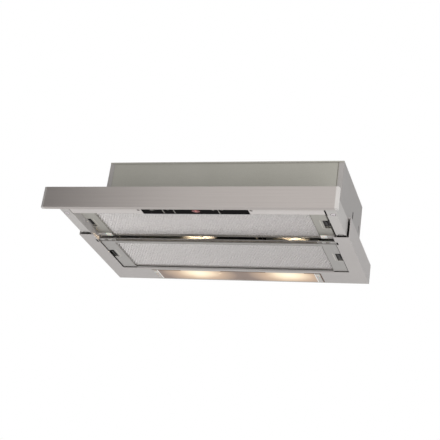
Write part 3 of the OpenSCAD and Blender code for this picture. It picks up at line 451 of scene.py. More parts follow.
# Green solder mask on glass fibre: glossy, with the copper tracks' 8 mm grid faintly raised under it
track_mm = 8.333
board_mask, tree, here = start("green_solder_mask")
tracks = put(tree, "ShaderNodeTexBrick", {"Scale": 1 / (track_mm * MM), "Color1": linear("#1C4A2E"),
    "Color2": linear("#235637"), "Mortar": linear("#2F6B48"), "Mortar Size": 0.03}, {"Vector": here})
bump = put(tree, "ShaderNodeBump", {"Strength": 0.2, "Distance": 0.1 * MM}, {"Height": (tracks, "Fac")})
shader = put(tree, "ShaderNodeBsdfPrincipled", {"Roughness": 0.35},
    {"Base Color": (tracks, 0), "Normal": (bump, 0)})
put(tree, "ShaderNodeOutputMaterial", {}, {"Surface": (shader, 0)})
dress(board_mask, "control_board")


def blocks(name, items, material, body):
    """Small moulded blocks with bevelled edges: middle and size of each, in millimetres."""
    bevel = 0.3 * MM
    parts = bmesh.new()
    for middle, sides in items:
        block = bmesh.new()
        bmesh.ops.create_cube(block, size=1.0)
        block.transform(Matrix.Diagonal((*(Vector(sides) * MM), 1.0)))
        bmesh.ops.bevel(block, geom=block.edges[:], offset=bevel, segments=2, affect="EDGES")
        block.transform(Matrix.Translation(Vector(middle) * MM))
        mesh = bpy.data.meshes.new(name + "_block")
        block.to_mesh(mesh)
        block.free()
        parts.from_mesh(mesh)
        bpy.data.meshes.remove(mesh)
    mesh = bpy.data.meshes.new(name)
    parts.to_mesh(mesh)
    parts.free()
    piece = link_piece(name, mesh, material)
    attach(piece, body)


# The board's upper face carries chips, two rows of resistors and a plug socket. Each stands on that face, and
# the height of its middle is half its own.
board_top = side_of("control_board", "top")
chips = [((-80, -252, board_top + 1), (10, 10, 2)), ((-20, -262, board_top + 1), (16, 8, 2)),
    ((36, -248, board_top + 1), (8, 12, 2)), ((66, -262, board_top + 0.8), (6, 4, 1.6))]
resistor_size = (3.2, 1.6, 1.0)
resistors = [((x, y, board_top + 0.5), resistor_size) for x in range(-95, 105, 8) for y in (-272, -240)]
socket = ((92, -256, board_top + 2.6), (12, 18, 5.2))
moulded_black = moulded_plastic("moulded_black_epoxy", "#191817", "#232120", 0.45, 0.8, 0.1)
moulded_white = moulded_plastic("moulded_white_nylon", "#DAD7D0", "#E5E2DB", 0.45, 0.9, 0.1)
blocks("board_chips", chips, moulded_black, "drawer")
blocks("board_resistors", resistors, moulded_black, "drawer")
blocks("board_socket", [socket], moulded_white, "drawer")

# Screen printed ink: matt, with spots about 1 mm wide where the squeegee left it thin
thin_spot_mm = 1.111
pale_ink = mottled("pale_printing_ink", thin_spot_mm, [(0.3, "#A6A29B"), (0.7, "#B8B4AD")],
    {"Roughness": 0.6})

# Red light emitting bars over the window, with the slight spread of their epoxy
spread_mm = 1.4286
lit_bar = mottled("red_lit_epoxy", spread_mm, [(0.3, "#F7B3AC"), (0.7, "#FFC9C2")],
    {"Base Color": linear("#A04040"), "Roughness": 0.4, "Emission Strength": 0.3}, tinted="Emission Color")


def circle(x, y, radius, first=0, last=12):
    """Points of a circle or of an arc of it, in twelfths of a turn from the front."""
    turns = [Matrix.Rotation(i * math.tau / 12, 2) @ Vector((0, -radius)) for i in range(first, last + 1)]
    return [(x + t.x, y + t.y) for t in turns]


# Each mark goes with its key. The lines between the fields are printed on the bezel.
thin_line, bold_line = 1.0, 1.4
mark_y = -254.0
field_lines = [[(x, -265.5), (x, -235.5)] for x in (-62.0, -39.0, 53.0)]
lamp_rays = [[(-84, -251), (-84, -248.5)], [(-81.5, -251.8), (-80, -250)], [(-86.5, -251.8), (-88, -250)]]
lamp_symbol = [circle(-84, mark_y, 2.0)] + lamp_rays
off_symbol = [circle(-50.5, mark_y, 2.4, 2, 10), [(-50.5, -257.5), (-50.5, -254)]]
plus_symbol = [[(40, mark_y), (46, mark_y)], [(43, -257), (43, -251)]]
clock_symbol = [circle(61, mark_y, 2.6), [(61, -254), (61, -255.6)], [(61, -254), (62.4, -254)]]
gloss_marks = (
    ("field_lines", field_lines, thin_line, "drawer"),
    ("lamp_symbol", lamp_symbol, thin_line, "light_key"),
    ("lamp_bar", [[(-76, mark_y), (-70, mark_y)]], bold_line, "light_key"),
    ("off_symbol", off_symbol, thin_line, "off_key"),
    ("slow_symbol", [[(-34, mark_y), (-28, mark_y)]], bold_line, "slow_key"),
    ("fast_symbol", plus_symbol, bold_line, "fast_key"),
    ("clock_symbol", clock_symbol, thin_line, "drawer"))
for name, runs, width, body in gloss_marks:
    laid(name, runs, width, pale_ink, body, bezel_z)
digit = [(5, -249.5), (8, -249.5), (8, -246.5), (5, -246.5), (5, -243.5), (8, -243.5)]
digit_z = bezel_z - 0.3
laid("lit_digit", [digit], 0.8, lit_bar, "drawer", digit_z)

# The strip ends in a joint beside each runner, open on the right, where a black band is painted shade in the
# gap, and closed on the left. A small pressed ring sits on each side of the bezel.
joint_front = side_of("control_strip", "front") + 1.0
joint_back = side_of("control_strip", "back") - 1.0
right_x = side_of("control_strip", "right") - 1.1
left_x = side_of("control_strip", "left") + 0.3
right_joint_shade = [(right_x, joint_front), (right_x, joint_back)]
left_joint = [(left_x, joint_front), (left_x, joint_back)]
laid("strip_joint_right_shade", [right_joint_shade], 3.2, black_shade, "drawer", strip_z)
laid("strip_joint_left", [left_joint], 1.2, grey_joint_and_shade, "drawer", strip_z)
rings = [circle(x, -248, 2.0) for x in (-114, 118.5)]
laid("strip_rings", rings, 1.5, grey_joint_and_shade, "drawer", strip_z)


# ---------------------------------------------------------------- drawer carriage, rails and blower's metal
# Two folded runners, coated like the casing, slide on zinc plated rails under the ledges, with nylon gliders
# and pads between them. A rear bar ties them, and cross head screws hold the runners to the strip.
carriage_coat = coated_sheet("silver_coated_steel", "#B1AEAB", "#BCB9B7", 0.15, 0.48)
dress(carriage_coat, "carriage_side_left", "carriage_side_right", "rear_bar")

# The motor's bracket is drawn black, a painted shade, so it stays dark between the filters
bracket_shade = coated_sheet("bracket_black_painted_shade", "#1A1918", "#242322", 0.1, 0.6)
dress(bracket_shade, "motor_bracket")

# Zinc plated steel: the plating cools in grains, a few millimetres across, each with its own shade
spangle_mm = 3.846
zinc_plate, tree, here = start("zinc_plated_steel")
spangle = put(tree, "ShaderNodeTexVoronoi", {"Scale": 1 / (spangle_mm * MM)}, {"Vector": here})
tone = put(tree, "ShaderNodeValToRGB", {"stops": [(0.1, "#8F9294"), (0.9, "#B4B7B8")]},
    {"Fac": (spangle, "Color")})
gloss = put(tree, "ShaderNodeMapRange", {"To Min": 0.3, "To Max": 0.5}, {"Value": (spangle, "Color")})
shader = put(tree, "ShaderNodeBsdfPrincipled", {"Metallic": 1.0},
    {"Base Color": (tone, 0), "Roughness": (gloss, 0)})
put(tree, "ShaderNodeOutputMaterial", {}, {"Surface": (shader, 0)})
dress(zinc_plate, "fixed_rail_left", "fixed_rail_right", "motor", "flap_axle", "capacitor", "motor_shaft")

# Natural nylon lets a little light in, so its edges look soft
nylon = moulded_plastic("natural_nylon", "#E6E3DB", "#EFECE6", 0.45, 1.0, 0.08, soft=0.2)
dress(nylon, "rail_gliders", "terminal_box", "terminal_lid", "cable_gland", "front_filter_clips")


def tree_inputs(tree, inputs):
    """Names a Geometry Nodes tree's inputs and its output, and adds its input node."""
    for label, kind in inputs:
        tree.interface.new_socket(name=label, in_out="INPUT", socket_type="NodeSocket" + kind)
    tree.interface.new_socket(name="Geometry", in_out="OUTPUT", socket_type="NodeSocketGeometry")
    return put(tree, "NodeGroupInput")


def grown(name, source_mesh, tree, values):
    """A plain mesh that a Geometry Nodes tree makes from a mesh, its inputs set by their identifiers."""
    carrier = link_piece(name + "_carrier", source_mesh)
    modifier = carrier.modifiers.new(name, "NODES")
    modifier.node_group = tree
    for item in tree.interface.items_tree:
        if item.in_out == "INPUT" and item.name in values:
            modifier[item.identifier] = values[item.name]
    shown = carrier.evaluated_get(bpy.context.evaluated_depsgraph_get())
    result = bpy.data.meshes.new_from_object(shown)
    carrier.modifiers.clear()
    bpy.data.objects.remove(carrier)
    return result


# A screw head is a low dome with a cross recess, set on each point of a mesh and turned by the point's facing
quarter_turn = 1.5707963
screw_tree = bpy.data.node_groups.new("cross_head_screws", "GeometryNodeTree")
tree = screw_tree
size = tree_inputs(tree, (("Geometry", "Geometry"), ("Head Radius", "Float"), ("Head Height", "Float"),
    ("Recess Width", "Float"), ("Material", "Material")))
dome = put(tree, "GeometryNodeMeshUVSphere", {"Segments": 20, "Rings": 10},
    {"Radius": (size, "Head Radius")})
flat = put(tree, "ShaderNodeMath", {"operation": "DIVIDE"},
    {0: (size, "Head Height"), 1: (size, "Head Radius")})
flat = put(tree, "ShaderNodeCombineXYZ", {"X": 1.0, "Y": 1.0}, {"Z": (flat, 0)})
dome = put(tree, "GeometryNodeTransform", {}, {"Geometry": (dome, 0), "Scale": (flat, 0)})
arm = put(tree, "ShaderNodeCombineXYZ", {},
    {"X": (size, "Head Radius"), "Y": (size, "Recess Width"), "Z": (size, "Head Height")})
arm = put(tree, "GeometryNodeMeshCube", {}, {"Size": (arm, 0)})
up = put(tree, "ShaderNodeCombineXYZ", {}, {"Z": (size, "Head Height")})
arm = put(tree, "GeometryNodeTransform", {}, {"Geometry": (arm, 0), "Translation": (up, 0)})
cross = put(tree, "GeometryNodeTransform", {"Rotation": (0.0, 0.0, quarter_turn)},
    {"Geometry": (arm, 0)})
dome = put(tree, "GeometryNodeMeshBoolean", {"operation": "DIFFERENCE"}, {0: (dome, 0), 1: (arm, 0)})
dome = put(tree, "GeometryNodeMeshBoolean", {"operation": "DIFFERENCE"}, {0: (dome, 0), 1: (cross, 0)})
facing = put(tree, "GeometryNodeInputNamedAttribute", {"data_type": "FLOAT_VECTOR", "Name": "facing"})
facing = put(tree, "FunctionNodeAlignRotationToVector", {"axis": "Z"}, {"Vector": (facing, 0)})
heads = put(tree, "GeometryNodeInstanceOnPoints", {},
    {"Points": (size, "Geometry"), "Instance": (dome, 0), "Rotation": (facing, 0)})
heads = put(tree, "GeometryNodeRealizeInstances", {}, {"Geometry": (heads, 0)})
heads = put(tree, "GeometryNodeSetMaterial", {},
    {"Geometry": (heads, 0), "Material": (size, "Material")})
put(tree, "NodeGroupOutput", {}, {"Geometry": (heads, 0)})


def screws(name, places, facing, radius, height, material, body, replaced=None):
    """Screw heads at places in millimetres, which all face one way."""
    mesh = bpy.data.meshes.new(name + "_points")
    mesh.from_pydata([Vector(p) * MM for p in places], [], [])
    directions = mesh.attributes.new("facing", "FLOAT_VECTOR", "POINT")
    directions.data.foreach_set("vector", [n for _ in places for n in facing])
    heads = grown(name, mesh, screw_tree, {"Head Radius": radius * MM, "Head Height": height * MM,
        "Recess Width": 0.35 * radius * MM, "Material": material})
    piece = link_piece(name, heads, material)
    if replaced:
        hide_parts(replaced)
    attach(piece, body)


# Bright zinc: plated on a polished head, so it shines, with faint rub marks 2 mm wide. Laid as rings round
# the screws, it is a painted highlight.
rub_mm = 2.0
bright_zinc_and_highlight = mottled("bright_zinc_and_painted_highlight", rub_mm, [(0.3, "#D6CFD2"), (0.7, "#EFE9EB")],
    {"Metallic": 1.0, "Roughness": 0.25})

# A screw in a pressed seat holds each runner to the strip, and a rivet stands behind it. A bright ring round
# each screw is a painted highlight.
down, up = (0, 0, -1), (0, 0, 1)
runner_z = side_of("carriage_side_left", "bottom")
screw_x, screw_y, rivet_y = 275.6, -232.0, -173.2
screw_places = [(x, screw_y, runner_z) for x in (-screw_x, screw_x)]
screws("runner_screws", screw_places, down, 4.0, 1.4, bright_zinc_and_highlight, "drawer", "strip_screws")
seat_highlights = [circle(x, screw_y, 5.4) for x in (-screw_x, screw_x)]
laid("screw_seat_highlights", seat_highlights, 1.5, bright_zinc_and_highlight, "drawer", runner_z)

# A half round tab is pressed out of each runner near the casing's mouth, and stops the drawer there. Its
# outline is drawn black, as painted shade along its pressed edge.
tab_x, tab_y, tab_radius = 273.0, -136.5, 5.5
tab_shade_lines = [circle(x, tab_y, tab_radius, -3, 3) + [(x - tab_radius, tab_y)] for x in (-tab_x, tab_x)]
laid("stop_tab_shade_lines", tab_shade_lines, 0.9, black_shade, "drawer", runner_z)

# A black band on each runner's foot and outer wall, where it slides into the casing, is painted shade of that
# gap
mouth_shade_y = side_of("casing_side_left", "front") + 1.0
mouth_shade_x, mouth_shade_reach = 267.5, 1.045
mouth_shades = [[(x, mouth_shade_y), (x * mouth_shade_reach, mouth_shade_y)] for x in (-mouth_shade_x, mouth_shade_x)]
laid("runner_mouth_shades", mouth_shades, 7.5, black_shade, "drawer", runner_z)
wall_x = side_of("carriage_side_right", "right")
wall_shade_y, wall_shade_foot, wall_shade_head, wall_shade_width = -124.0, -168.0, -153.0, 18.0
for side, x in (("left", -wall_x), ("right", wall_x)):
    wall_shade_run = [(x, wall_shade_y, wall_shade_foot), (x, wall_shade_y, wall_shade_head)]
    laid(side + "_wall_shade", [wall_shade_run], wall_shade_width, black_shade, "drawer",
        outward=(x / wall_x, 0, 0))
rivet_places = [(x, rivet_y, runner_z) for x in (-screw_x, screw_x)]
screws("runner_rivets", rivet_places, down, 2.2, 0.7, carriage_coat, "drawer")

# Rivets close the top plate, and screws hold the terminal box's lid and the outlet collar
top_z = side_of("top_plate", "top")
rivet_places = [(x, y, top_z) for x in (-251, 251) for y in (-70, -25, 20, 65)]
screws("top_rivets", rivet_places, up, 2.4, 0.8, zinc_plate, "housing")
lid_z = side_of("terminal_lid", "bottom")
lid_places = [(x, y, lid_z) for x in (-195, -135) for y in (-66, -16)]
screws("lid_screws", lid_places, down, 2.4, 1.2, zinc_plate, "housing")
collar_radius, diagonal = 64.0, 0.7071
collar_reach = collar_radius * diagonal
collar_z = top_z + 2.0
collar_ways = ((1, 1), (-1, 1), (-1, -1), (1, -1))
collar_places = [(x * collar_reach, y * collar_reach, collar_z) for x, y in collar_ways]
screws("collar_screws", collar_places, up, 2.8, 1.4, zinc_plate, "housing")


# ---------------------------------------------------------------- grease filters
# Each filter is a pressed aluminium frame around layers of expanded aluminium. Strands of a slit, stretched
# sheet run in zigzags that meet at their bonds, and each strand is tilted, so the mesh sparkles.
filter_frame = brushed_metal("pressed_aluminium", "#AEABA4", "#BAB7B0", 0.42, "Y", scratch_mm, 0.04)
dress(filter_frame, "front_filter_frame")
rear_frame = brushed_metal("pressed_aluminium_in_shade", "#ACA9A6", "#B7B4B1", 0.42, "Y", scratch_mm, 0.04)
dress(rear_frame, "rear_filter_frame")

# Expanded aluminium: bright where it is cut, dull on its rolled faces, so each few strands have their own
# shade, in patches of 2 by 9 mm. Its colour is also painted lighter towards the left, as a painted light
# gradient.
patch_turn = (0.0, 0.0, 0.6)
patch_scale = [1 / (size_mm * MM) for size_mm in (1.923, 9.091, 1.923)]
painted_light_per_metre = -0.85
strand_metal, tree, here = start("expanded_aluminium")
turn = put(tree, "ShaderNodeMapping", {"Rotation": patch_turn, "Scale": patch_scale}, {"Vector": here})
patch = put(tree, "ShaderNodeTexNoise", {"Scale": 1.0, "Detail": 2.0}, {"Vector": (turn, 0)})
across = put(tree, "ShaderNodeSeparateXYZ", {}, {0: here})
painted_light_slope = put(tree, "ShaderNodeMath", {"operation": "MULTIPLY_ADD", 1: painted_light_per_metre},
    {0: (across, "X"), 2: (patch, "Fac")})
tone = put(tree, "ShaderNodeValToRGB", {"stops": [(0.2, "#D0CCCB"), (0.8, "#F5F2F1")]}, {"Fac": (painted_light_slope, 0)})
gloss = put(tree, "ShaderNodeMapRange", {"To Min": 0.3, "To Max": 0.5}, {"Value": (patch, "Fac")})
shader = put(tree, "ShaderNodeBsdfPrincipled", {"Metallic": 0.35},
    {"Base Color": (tone, 0), "Roughness": (gloss, 0)})
put(tree, "ShaderNodeOutputMaterial", {}, {"Surface": (shader, 0)})

# One strand is a zigzag with a flat section. A layer repeats it row by row, and the layers are stacked.
row_wander = 0.12 * MM
mesh_tree = bpy.data.node_groups.new("expanded_metal", "GeometryNodeTree")
tree = mesh_tree
size = tree_inputs(tree, (("Geometry", "Geometry"), ("Width", "Float"), ("Depth", "Float"),
    ("Cell Length", "Float"), ("Cell Width", "Float"), ("Strand Width", "Float"),
    ("Strand Thickness", "Float"), ("Strand Tilt", "Float"), ("Layers", "Int"), ("Layer Step", "Float"),
    ("Seed", "Int"), ("Material", "Material")))
half_cell = put(tree, "ShaderNodeMath", {"operation": "MULTIPLY", 1: 0.5}, {0: (size, "Cell Length")})
steps = put(tree, "ShaderNodeMath", {"operation": "DIVIDE"}, {0: (size, "Width"), 1: (half_cell, 0)})
steps = put(tree, "ShaderNodeMath", {"operation": "FLOOR"}, {0: (steps, 0)})
points = put(tree, "ShaderNodeMath", {"operation": "ADD", 1: 1.0}, {0: (steps, 0)})
length = put(tree, "ShaderNodeMath", {"operation": "MULTIPLY"}, {0: (steps, 0), 1: (half_cell, 0)})
far = put(tree, "ShaderNodeMath", {"operation": "MULTIPLY", 1: 0.5}, {0: (length, 0)})
near = put(tree, "ShaderNodeMath", {"operation": "MULTIPLY", 1: -0.5}, {0: (length, 0)})
first = put(tree, "ShaderNodeCombineXYZ", {}, {"X": (near, 0)})
last = put(tree, "ShaderNodeCombineXYZ", {}, {"X": (far, 0)})
strand = put(tree, "GeometryNodeCurvePrimitiveLine", {}, {"Start": (first, 0), "End": (last, 0)})
strand = put(tree, "GeometryNodeResampleCurve", {"mode": "COUNT"},
    {"Curve": (strand, 0), "Count": (points, 0)})
number = put(tree, "GeometryNodeInputIndex")
odd = put(tree, "ShaderNodeMath", {"operation": "MODULO", 1: 2.0}, {0: (number, 0)})
swing = put(tree, "ShaderNodeMath", {"operation": "SUBTRACT", 1: 0.5}, {0: (odd, 0)})
swing = put(tree, "ShaderNodeMath", {"operation": "MULTIPLY"}, {0: (swing, 0), 1: (size, "Cell Width")})
swing = put(tree, "ShaderNodeMath", {"operation": "MULTIPLY", 1: 0.5}, {0: (swing, 0)})
zigzag = put(tree, "ShaderNodeCombineXYZ", {}, {"Y": (swing, 0)})
strand = put(tree, "GeometryNodeSetPosition", {}, {"Geometry": (strand, 0), "Offset": (zigzag, 0)})
strand = put(tree, "GeometryNodeSetCurveTilt", {}, {"Curve": (strand, 0), "Tilt": (size, "Strand Tilt")})
section = put(tree, "GeometryNodeCurvePrimitiveQuadrilateral", {},
    {"Width": (size, "Strand Width"), "Height": (size, "Strand Thickness")})
strand = put(tree, "GeometryNodeCurveToMesh", {"Fill Caps": True},
    {"Curve": (strand, 0), "Profile Curve": (section, 0)})
row_step = put(tree, "ShaderNodeMath", {"operation": "MULTIPLY", 1: 0.5}, {0: (size, "Cell Width")})
rows = put(tree, "ShaderNodeMath", {"operation": "DIVIDE"}, {0: (size, "Depth"), 1: (row_step, 0)})
rows = put(tree, "ShaderNodeMath", {"operation": "FLOOR"}, {0: (rows, 0)})
row_start = put(tree, "ShaderNodeMath", {"operation": "MULTIPLY", 1: -0.5}, {0: (size, "Depth")})
row_first = put(tree, "ShaderNodeCombineXYZ", {}, {"Y": (row_start, 0)})
row_offset = put(tree, "ShaderNodeCombineXYZ", {}, {"Y": (row_step, 0)})
row_line = put(tree, "GeometryNodeMeshLine", {"mode": "OFFSET"},
    {"Count": (rows, 0), "Start Location": (row_first, 0), "Offset": (row_offset, 0)})
wander = put(tree, "FunctionNodeRandomValue", {"data_type": "FLOAT", 2: -row_wander, 3: row_wander},
    {"Seed": (size, "Seed")})
slide = put(tree, "ShaderNodeMath", {"operation": "MULTIPLY"}, {0: (odd, 0), 1: (half_cell, 0)})
slide = put(tree, "ShaderNodeCombineXYZ", {}, {"X": (slide, 0), "Y": (wander, 1)})
row_line = put(tree, "GeometryNodeSetPosition", {}, {"Geometry": (row_line, 0), "Offset": (slide, 0)})
layer = put(tree, "GeometryNodeInstanceOnPoints", {}, {"Points": (row_line, 0), "Instance": (strand, 0)})
third = put(tree, "ShaderNodeMath", {"operation": "MULTIPLY", 1: 0.33}, {0: (size, "Cell Length")})
nudge = put(tree, "ShaderNodeMath", {"operation": "MULTIPLY", 1: 0.27}, {0: (size, "Cell Width")})
rise = put(tree, "ShaderNodeCombineXYZ", {}, {"X": (third, 0), "Y": (nudge, 0), "Z": (size, "Layer Step")})
stack = put(tree, "GeometryNodeMeshLine", {"mode": "OFFSET"},
    {"Count": (size, "Layers"), "Offset": (rise, 0)})
stack = put(tree, "GeometryNodeInstanceOnPoints", {}, {"Points": (stack, 0), "Instance": (layer, 0)})
stack = put(tree, "GeometryNodeRealizeInstances", {}, {"Geometry": (stack, 0)})
stack = put(tree, "GeometryNodeSetMaterial", {}, {"Geometry": (stack, 0), "Material": (size, "Material")})
put(tree, "NodeGroupOutput", {}, {"Geometry": (stack, 0)})


# Real cells are about 6 by 3 mm. They are drawn up to 12 by 6 mm, so that they show. The lowest layer lies
# crosswise, and its long cells give the slanting hatch. All are cut to the size of the filter's own mesh.
crosswise = {"Cell Length": 12 * MM, "Cell Width": 6 * MM, "Strand Width": 2.0 * MM, "Strand Tilt": 0.3,
    "Layers": 1}
lengthwise = {"Cell Length": 8 * MM, "Cell Width": 5 * MM, "Strand Width": 2.5 * MM, "Strand Tilt": 0.15,
    "Layers": 2}
every_layer = {"Strand Thickness": 0.2 * MM, "Layer Step": 0.3 * MM, "Material": strand_metal}
spare_width, spare_depth = 48 * MM, 24 * MM
for side, body, seed in (("front", "drawer", 3), ("rear", "rear_filter", 8)):
    low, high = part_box(side + "_filter_mesh")
    middle = (low + high) / 2
    width, depth = high.x - low.x, high.y - low.y
    layers = bmesh.new()
    ways = ((crosswise, depth, width, quarter_turn, 0.75), (lengthwise, width, depth, 0.0, 1.5))
    for cells, along, aside, turned, lift in ways:
        sizes = {"Width": along + spare_width, "Depth": aside + spare_depth, "Seed": seed}
        values = {**sizes, **cells, **every_layer}
        grid = grown(side + "_layers", bpy.data.meshes.new("seed"), mesh_tree, values)
        place = Matrix.Translation((middle.x, middle.y, low.z + lift * MM))
        grid.transform(place @ Matrix.Rotation(turned, 4, "Z"))
        layers.from_mesh(grid)
    for point, outward in ((low, (-1, 0, 0)), (low, (0, -1, 0)), (high, (1, 0, 0)), (high, (0, 1, 0))):
        everything = layers.verts[:] + layers.edges[:] + layers.faces[:]
        bmesh.ops.bisect_plane(layers, geom=everything, plane_co=point, plane_no=outward, clear_outer=True)
    trimmed = bpy.data.meshes.new(side + "_expanded_metal")
    layers.to_mesh(trimmed)
    layers.free()
    piece = link_piece(side + "_expanded_metal", trimmed, strand_metal)
    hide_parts(side + "_filter_mesh")
    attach(piece, body)

# Painted shade runs as a thin dark line along the mesh where it goes into its frame, and as a wide one along
# its back end
front_z = side_of("front_filter_frame", "bottom")
rear_z = side_of("rear_filter_frame", "bottom")
mesh_x = side_of("front_filter_mesh", "right") + 0.8
near, far = side_of("front_filter_mesh", "front"), side_of("front_filter_mesh", "back")
lines = [[(x, near + 1.0), (x, far - 1.0)] for x in (-mesh_x, mesh_x)]
laid("front_mesh_shade_lines", lines, 0.6, grey_joint_and_shade, "drawer", front_z)
near, far = side_of("rear_filter_mesh", "front"), side_of("rear_filter_mesh", "back")
lines = [[(x, near + 1.0), (x, far - 1.0)] for x in (-mesh_x, mesh_x)] + [[(-mesh_x, near), (mesh_x, near)]]
laid("rear_mesh_shade_lines", lines, 0.7, grey_joint_and_shade, "rear_filter", rear_z)
back_shade_line = [(-221.0, 40.3), (222.0, 40.3)]
laid("rear_mesh_end_shade", [back_shade_line], 4.4, black_shade, "rear_filter", rear_z)

# Each latch slides in a recess with a rolled rim, drawn bright as a painted highlight
rim_x, rim_turn, rim_width = 239, 14, 1.5
rim_ends = ((-rim_x, -rim_turn), (rim_x, rim_turn))
rim_highlight = brushed_metal("aluminium_rim_painted_highlight", "#CFCBC3", "#DDD9D1", 0.4, "Y", scratch_mm, 0.02)
recesses = (("front", -167.5, front_z, "drawer"), ("rear", -30.5, rear_z, "rear_filter"))
for name, middle_y, level, body in recesses:
    near, far = middle_y - 18, middle_y + 19
    rim_highlights = [[(x, near), (x, far), (x + turn, far)] for x, turn in rim_ends]
    laid(name + "_recess_rim_highlights", rim_highlights, rim_width, rim_highlight, body, level)

# Painted shade, dark with pale specks, covers the rear filter's front lip
lip_shade = matt_band_material("speckled_painted_shade", "#1B1816", "#7C756D")
lip_z = rear_z + 1.0
lip = [(-214.0, -102.0), (214.0, -102.0)]
laid("lip_painted_shade", [lip], 9.0, lip_shade, "rear_filter", lip_z)

# Grained black ABS: matt, with a fine leather grain. The blower, the flaps and the pads are made of it.
black_plastic = moulded_plastic("grained_black_abs", "#151311", "#1F1C1A", 0.5, 0.9, 0.15)
dress(black_plastic, "rail_pads", "scroll_wall", "scroll_cheek_left", "scroll_cheek_right", "outlet_collar",
    "end_switch", "impeller", "flap_front", "flap_rear")

# A latch is black where the finger draws it, and its tongue beyond the frame's edge is bare metal
tongue_x = side_of("front_filter_frame", "right") * MM
latch_mix = moulded_plastic("black_abs_with_metal_tongue", "#151311", "#1F1C1A", 0.5, 0.9, 0.15)
tree, shader, tone, here = opened(latch_mix)
parts = put(tree, "ShaderNodeSeparateXYZ", {}, {0: here})
reach = put(tree, "ShaderNodeMath", {"operation": "ABSOLUTE"}, {0: (parts, "X")})
beyond = put(tree, "ShaderNodeMath", {"operation": "GREATER_THAN", 1: tongue_x}, {0: (reach, 0)})
mixed = put(tree, "ShaderNodeMix", {"data_type": "RGBA", 7: linear("#A19F9C")},
    {0: (beyond, 0), 6: (tone, 0)})
tree.links.new(mixed.outputs[2], shader.inputs["Base Color"])
dress(latch_mix, "front_latch_left", "front_latch_right", "rear_latch_left", "rear_latch_right")


# ---------------------------------------------------------------- lamps
# Two candle bulbs in a white enamelled tray shine through an opal sheet, which is brightest under each bulb.
# Pale end sections close the window on both sides, and a brown band of painted shade lies along its front
# edge.
enamel_and_highlight = moulded_plastic("white_enamel_and_painted_highlight", "#E2DFD9", "#ECE9E4", 0.3, 3.0, 0.03)
dress(enamel_and_highlight, "lamp_tray", "lamp_sockets")

# Opal acrylic: milky, so it spreads each bulb's light in a soft spot, here by the distance to the nearest of
# three. The middle one is faint. Each has its place, how fast it fades, and how far it has faded already.
spot_y = 70 * MM
spots = ((-84 * MM, 16.0, 0.0), (-36 * MM, 50.0, 0.5), (120 * MM, 15.0, 0.0))
front_to_back = 1.5
cloud_mm = 25.0
opal_sheet, tree, here = start("opal_acrylic")
nearest = None
for spot_x, fading, faded in spots:
    squeeze = (fading, fading * front_to_back, 0.0)
    centre = put(tree, "ShaderNodeVectorMath", {"operation": "SUBTRACT", 1: (spot_x, spot_y, 0.0)},
        {0: here})
    centre = put(tree, "ShaderNodeVectorMath", {"operation": "MULTIPLY", 1: squeeze}, {0: (centre, 0)})
    reach = put(tree, "ShaderNodeVectorMath", {"operation": "LENGTH"}, {0: (centre, 0)})
    reach = put(tree, "ShaderNodeMath", {"operation": "ADD", 1: faded}, {0: (reach, "Value")})
    if nearest:
        reach = put(tree, "ShaderNodeMath", {"operation": "MINIMUM"}, {0: (nearest, 0), 1: (reach, 0)})
    nearest = reach
cloud = put(tree, "ShaderNodeTexNoise", {"Scale": 1 / (cloud_mm * MM), "Detail": 3.0}, {"Vector": here})
cloud = put(tree, "ShaderNodeMath", {"operation": "MULTIPLY_ADD", 1: 0.1, 2: -0.05}, {0: (cloud, "Fac")})
nearest = put(tree, "ShaderNodeMath", {"operation": "MULTIPLY_ADD", 1: 0.5}, {0: (nearest, 0), 2: (cloud, 0)})
glow = put(tree, "ShaderNodeValToRGB", {"stops": [(0.0, "#FFF4DC"), (0.18, "#F6E2C0"), (0.4, "#B89C80"),
    (0.7, "#65534A"), (1.0, "#4C3F39")]}, {"Fac": (nearest, 0)})
shader = put(tree, "ShaderNodeBsdfPrincipled",
    {"Base Color": linear("#55483F"), "Roughness": 0.35, "IOR": 1.49, "Emission Strength": 1.0},
    {"Emission Color": (glow, 0)})
put(tree, "ShaderNodeOutputMaterial", {}, {"Surface": (shader, 0)})
dress(opal_sheet, "lamp_cover")

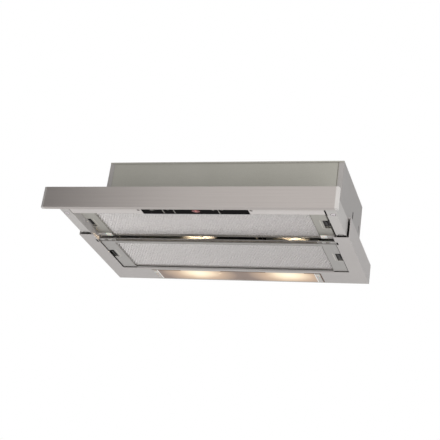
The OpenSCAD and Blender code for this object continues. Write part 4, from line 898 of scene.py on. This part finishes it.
# The end sections are milky too, and their edges catch the light, drawn as pale lines of enamel: a painted
# highlight
clear_ends = moulded_plastic("milky_acrylic", "#A8A19B", "#B6AFA9", 0.25, 4.0, 0.05, soft=0.2)
dress(clear_ends, "lamp_ends")
window_z = side_of("lamp_cover", "bottom")
edge_x, rib_x, rib_reach, rib_y = 179.6, 181.5, 1.05, 70
end_edge_highlights = [[(x, 57), (x, 106)] for x in (-edge_x, edge_x)]
end_edge_highlights += [[(x, rib_y), (x * rib_reach, rib_y)] for x in (-rib_x, rib_x)]
laid("lamp_end_edge_highlights", end_edge_highlights, 1.8, enamel_and_highlight, "housing", window_z)
# The brown band is painted shade along the window's front edge, left out where the bulbs light it
shade = matt_band_material("brown_painted_shade", "#5A4A3E", "#6E5C4E")
edge_shade_y = 57.3
edge_shade_runs = [[(left, edge_shade_y), (right, edge_shade_y)] for left, right in ((-191, -125), (-30, 70), (158, 191))]
edge_shade_runs += [[(192, 58), (192, 105)]]
laid("window_edge_shade", edge_shade_runs, 2.6, shade, "housing", window_z)

# The bulbs' light also falls on the back wall, the blower and the left runner, and shows between the filters.
# Each of these small lamps has its place, the point that it faces, and its power.
bulb_lights = (
    ((-0.118, 0.07, -0.085), (-0.118, 0.109, -0.08), 0.02),
    ((0.118, 0.07, -0.085), (0.112, 0.109, -0.08), 0.016),
    ((-0.056, -0.012, -0.15), (-0.056, -0.005, -0.13), 0.06),
    ((-0.25, -0.103, -0.171), (-0.2635, -0.105, -0.175), 0.0016))
for place, aim, power in bulb_lights:
    lamp = soft_box("bulb_light", place, aim, (0.03, 0.006), power, "#FFE6C6")
    lamp.data.spread = 1.3

# Frosted glass: etched, so it is rough, and lit from inside. Its fine pits are drawn 1 mm wide.
pit_mm = 1.111
frosted, tree, here = start("frosted_glass")
frost = put(tree, "ShaderNodeTexNoise", {"Scale": 1 / (pit_mm * MM)}, {"Vector": here})
bump = put(tree, "ShaderNodeBump", {"Strength": 0.2, "Distance": 0.1 * MM}, {"Height": (frost, "Fac")})
shader = put(tree, "ShaderNodeBsdfPrincipled", {"Base Color": linear("#FFF3DC"), "Roughness": 0.4,
    "Emission Color": linear("#FFE9C2"), "Emission Strength": 2.0}, {"Normal": (bump, 0)})
put(tree, "ShaderNodeOutputMaterial", {}, {"Surface": (shader, 0)})
dress(frosted, "bulbs")
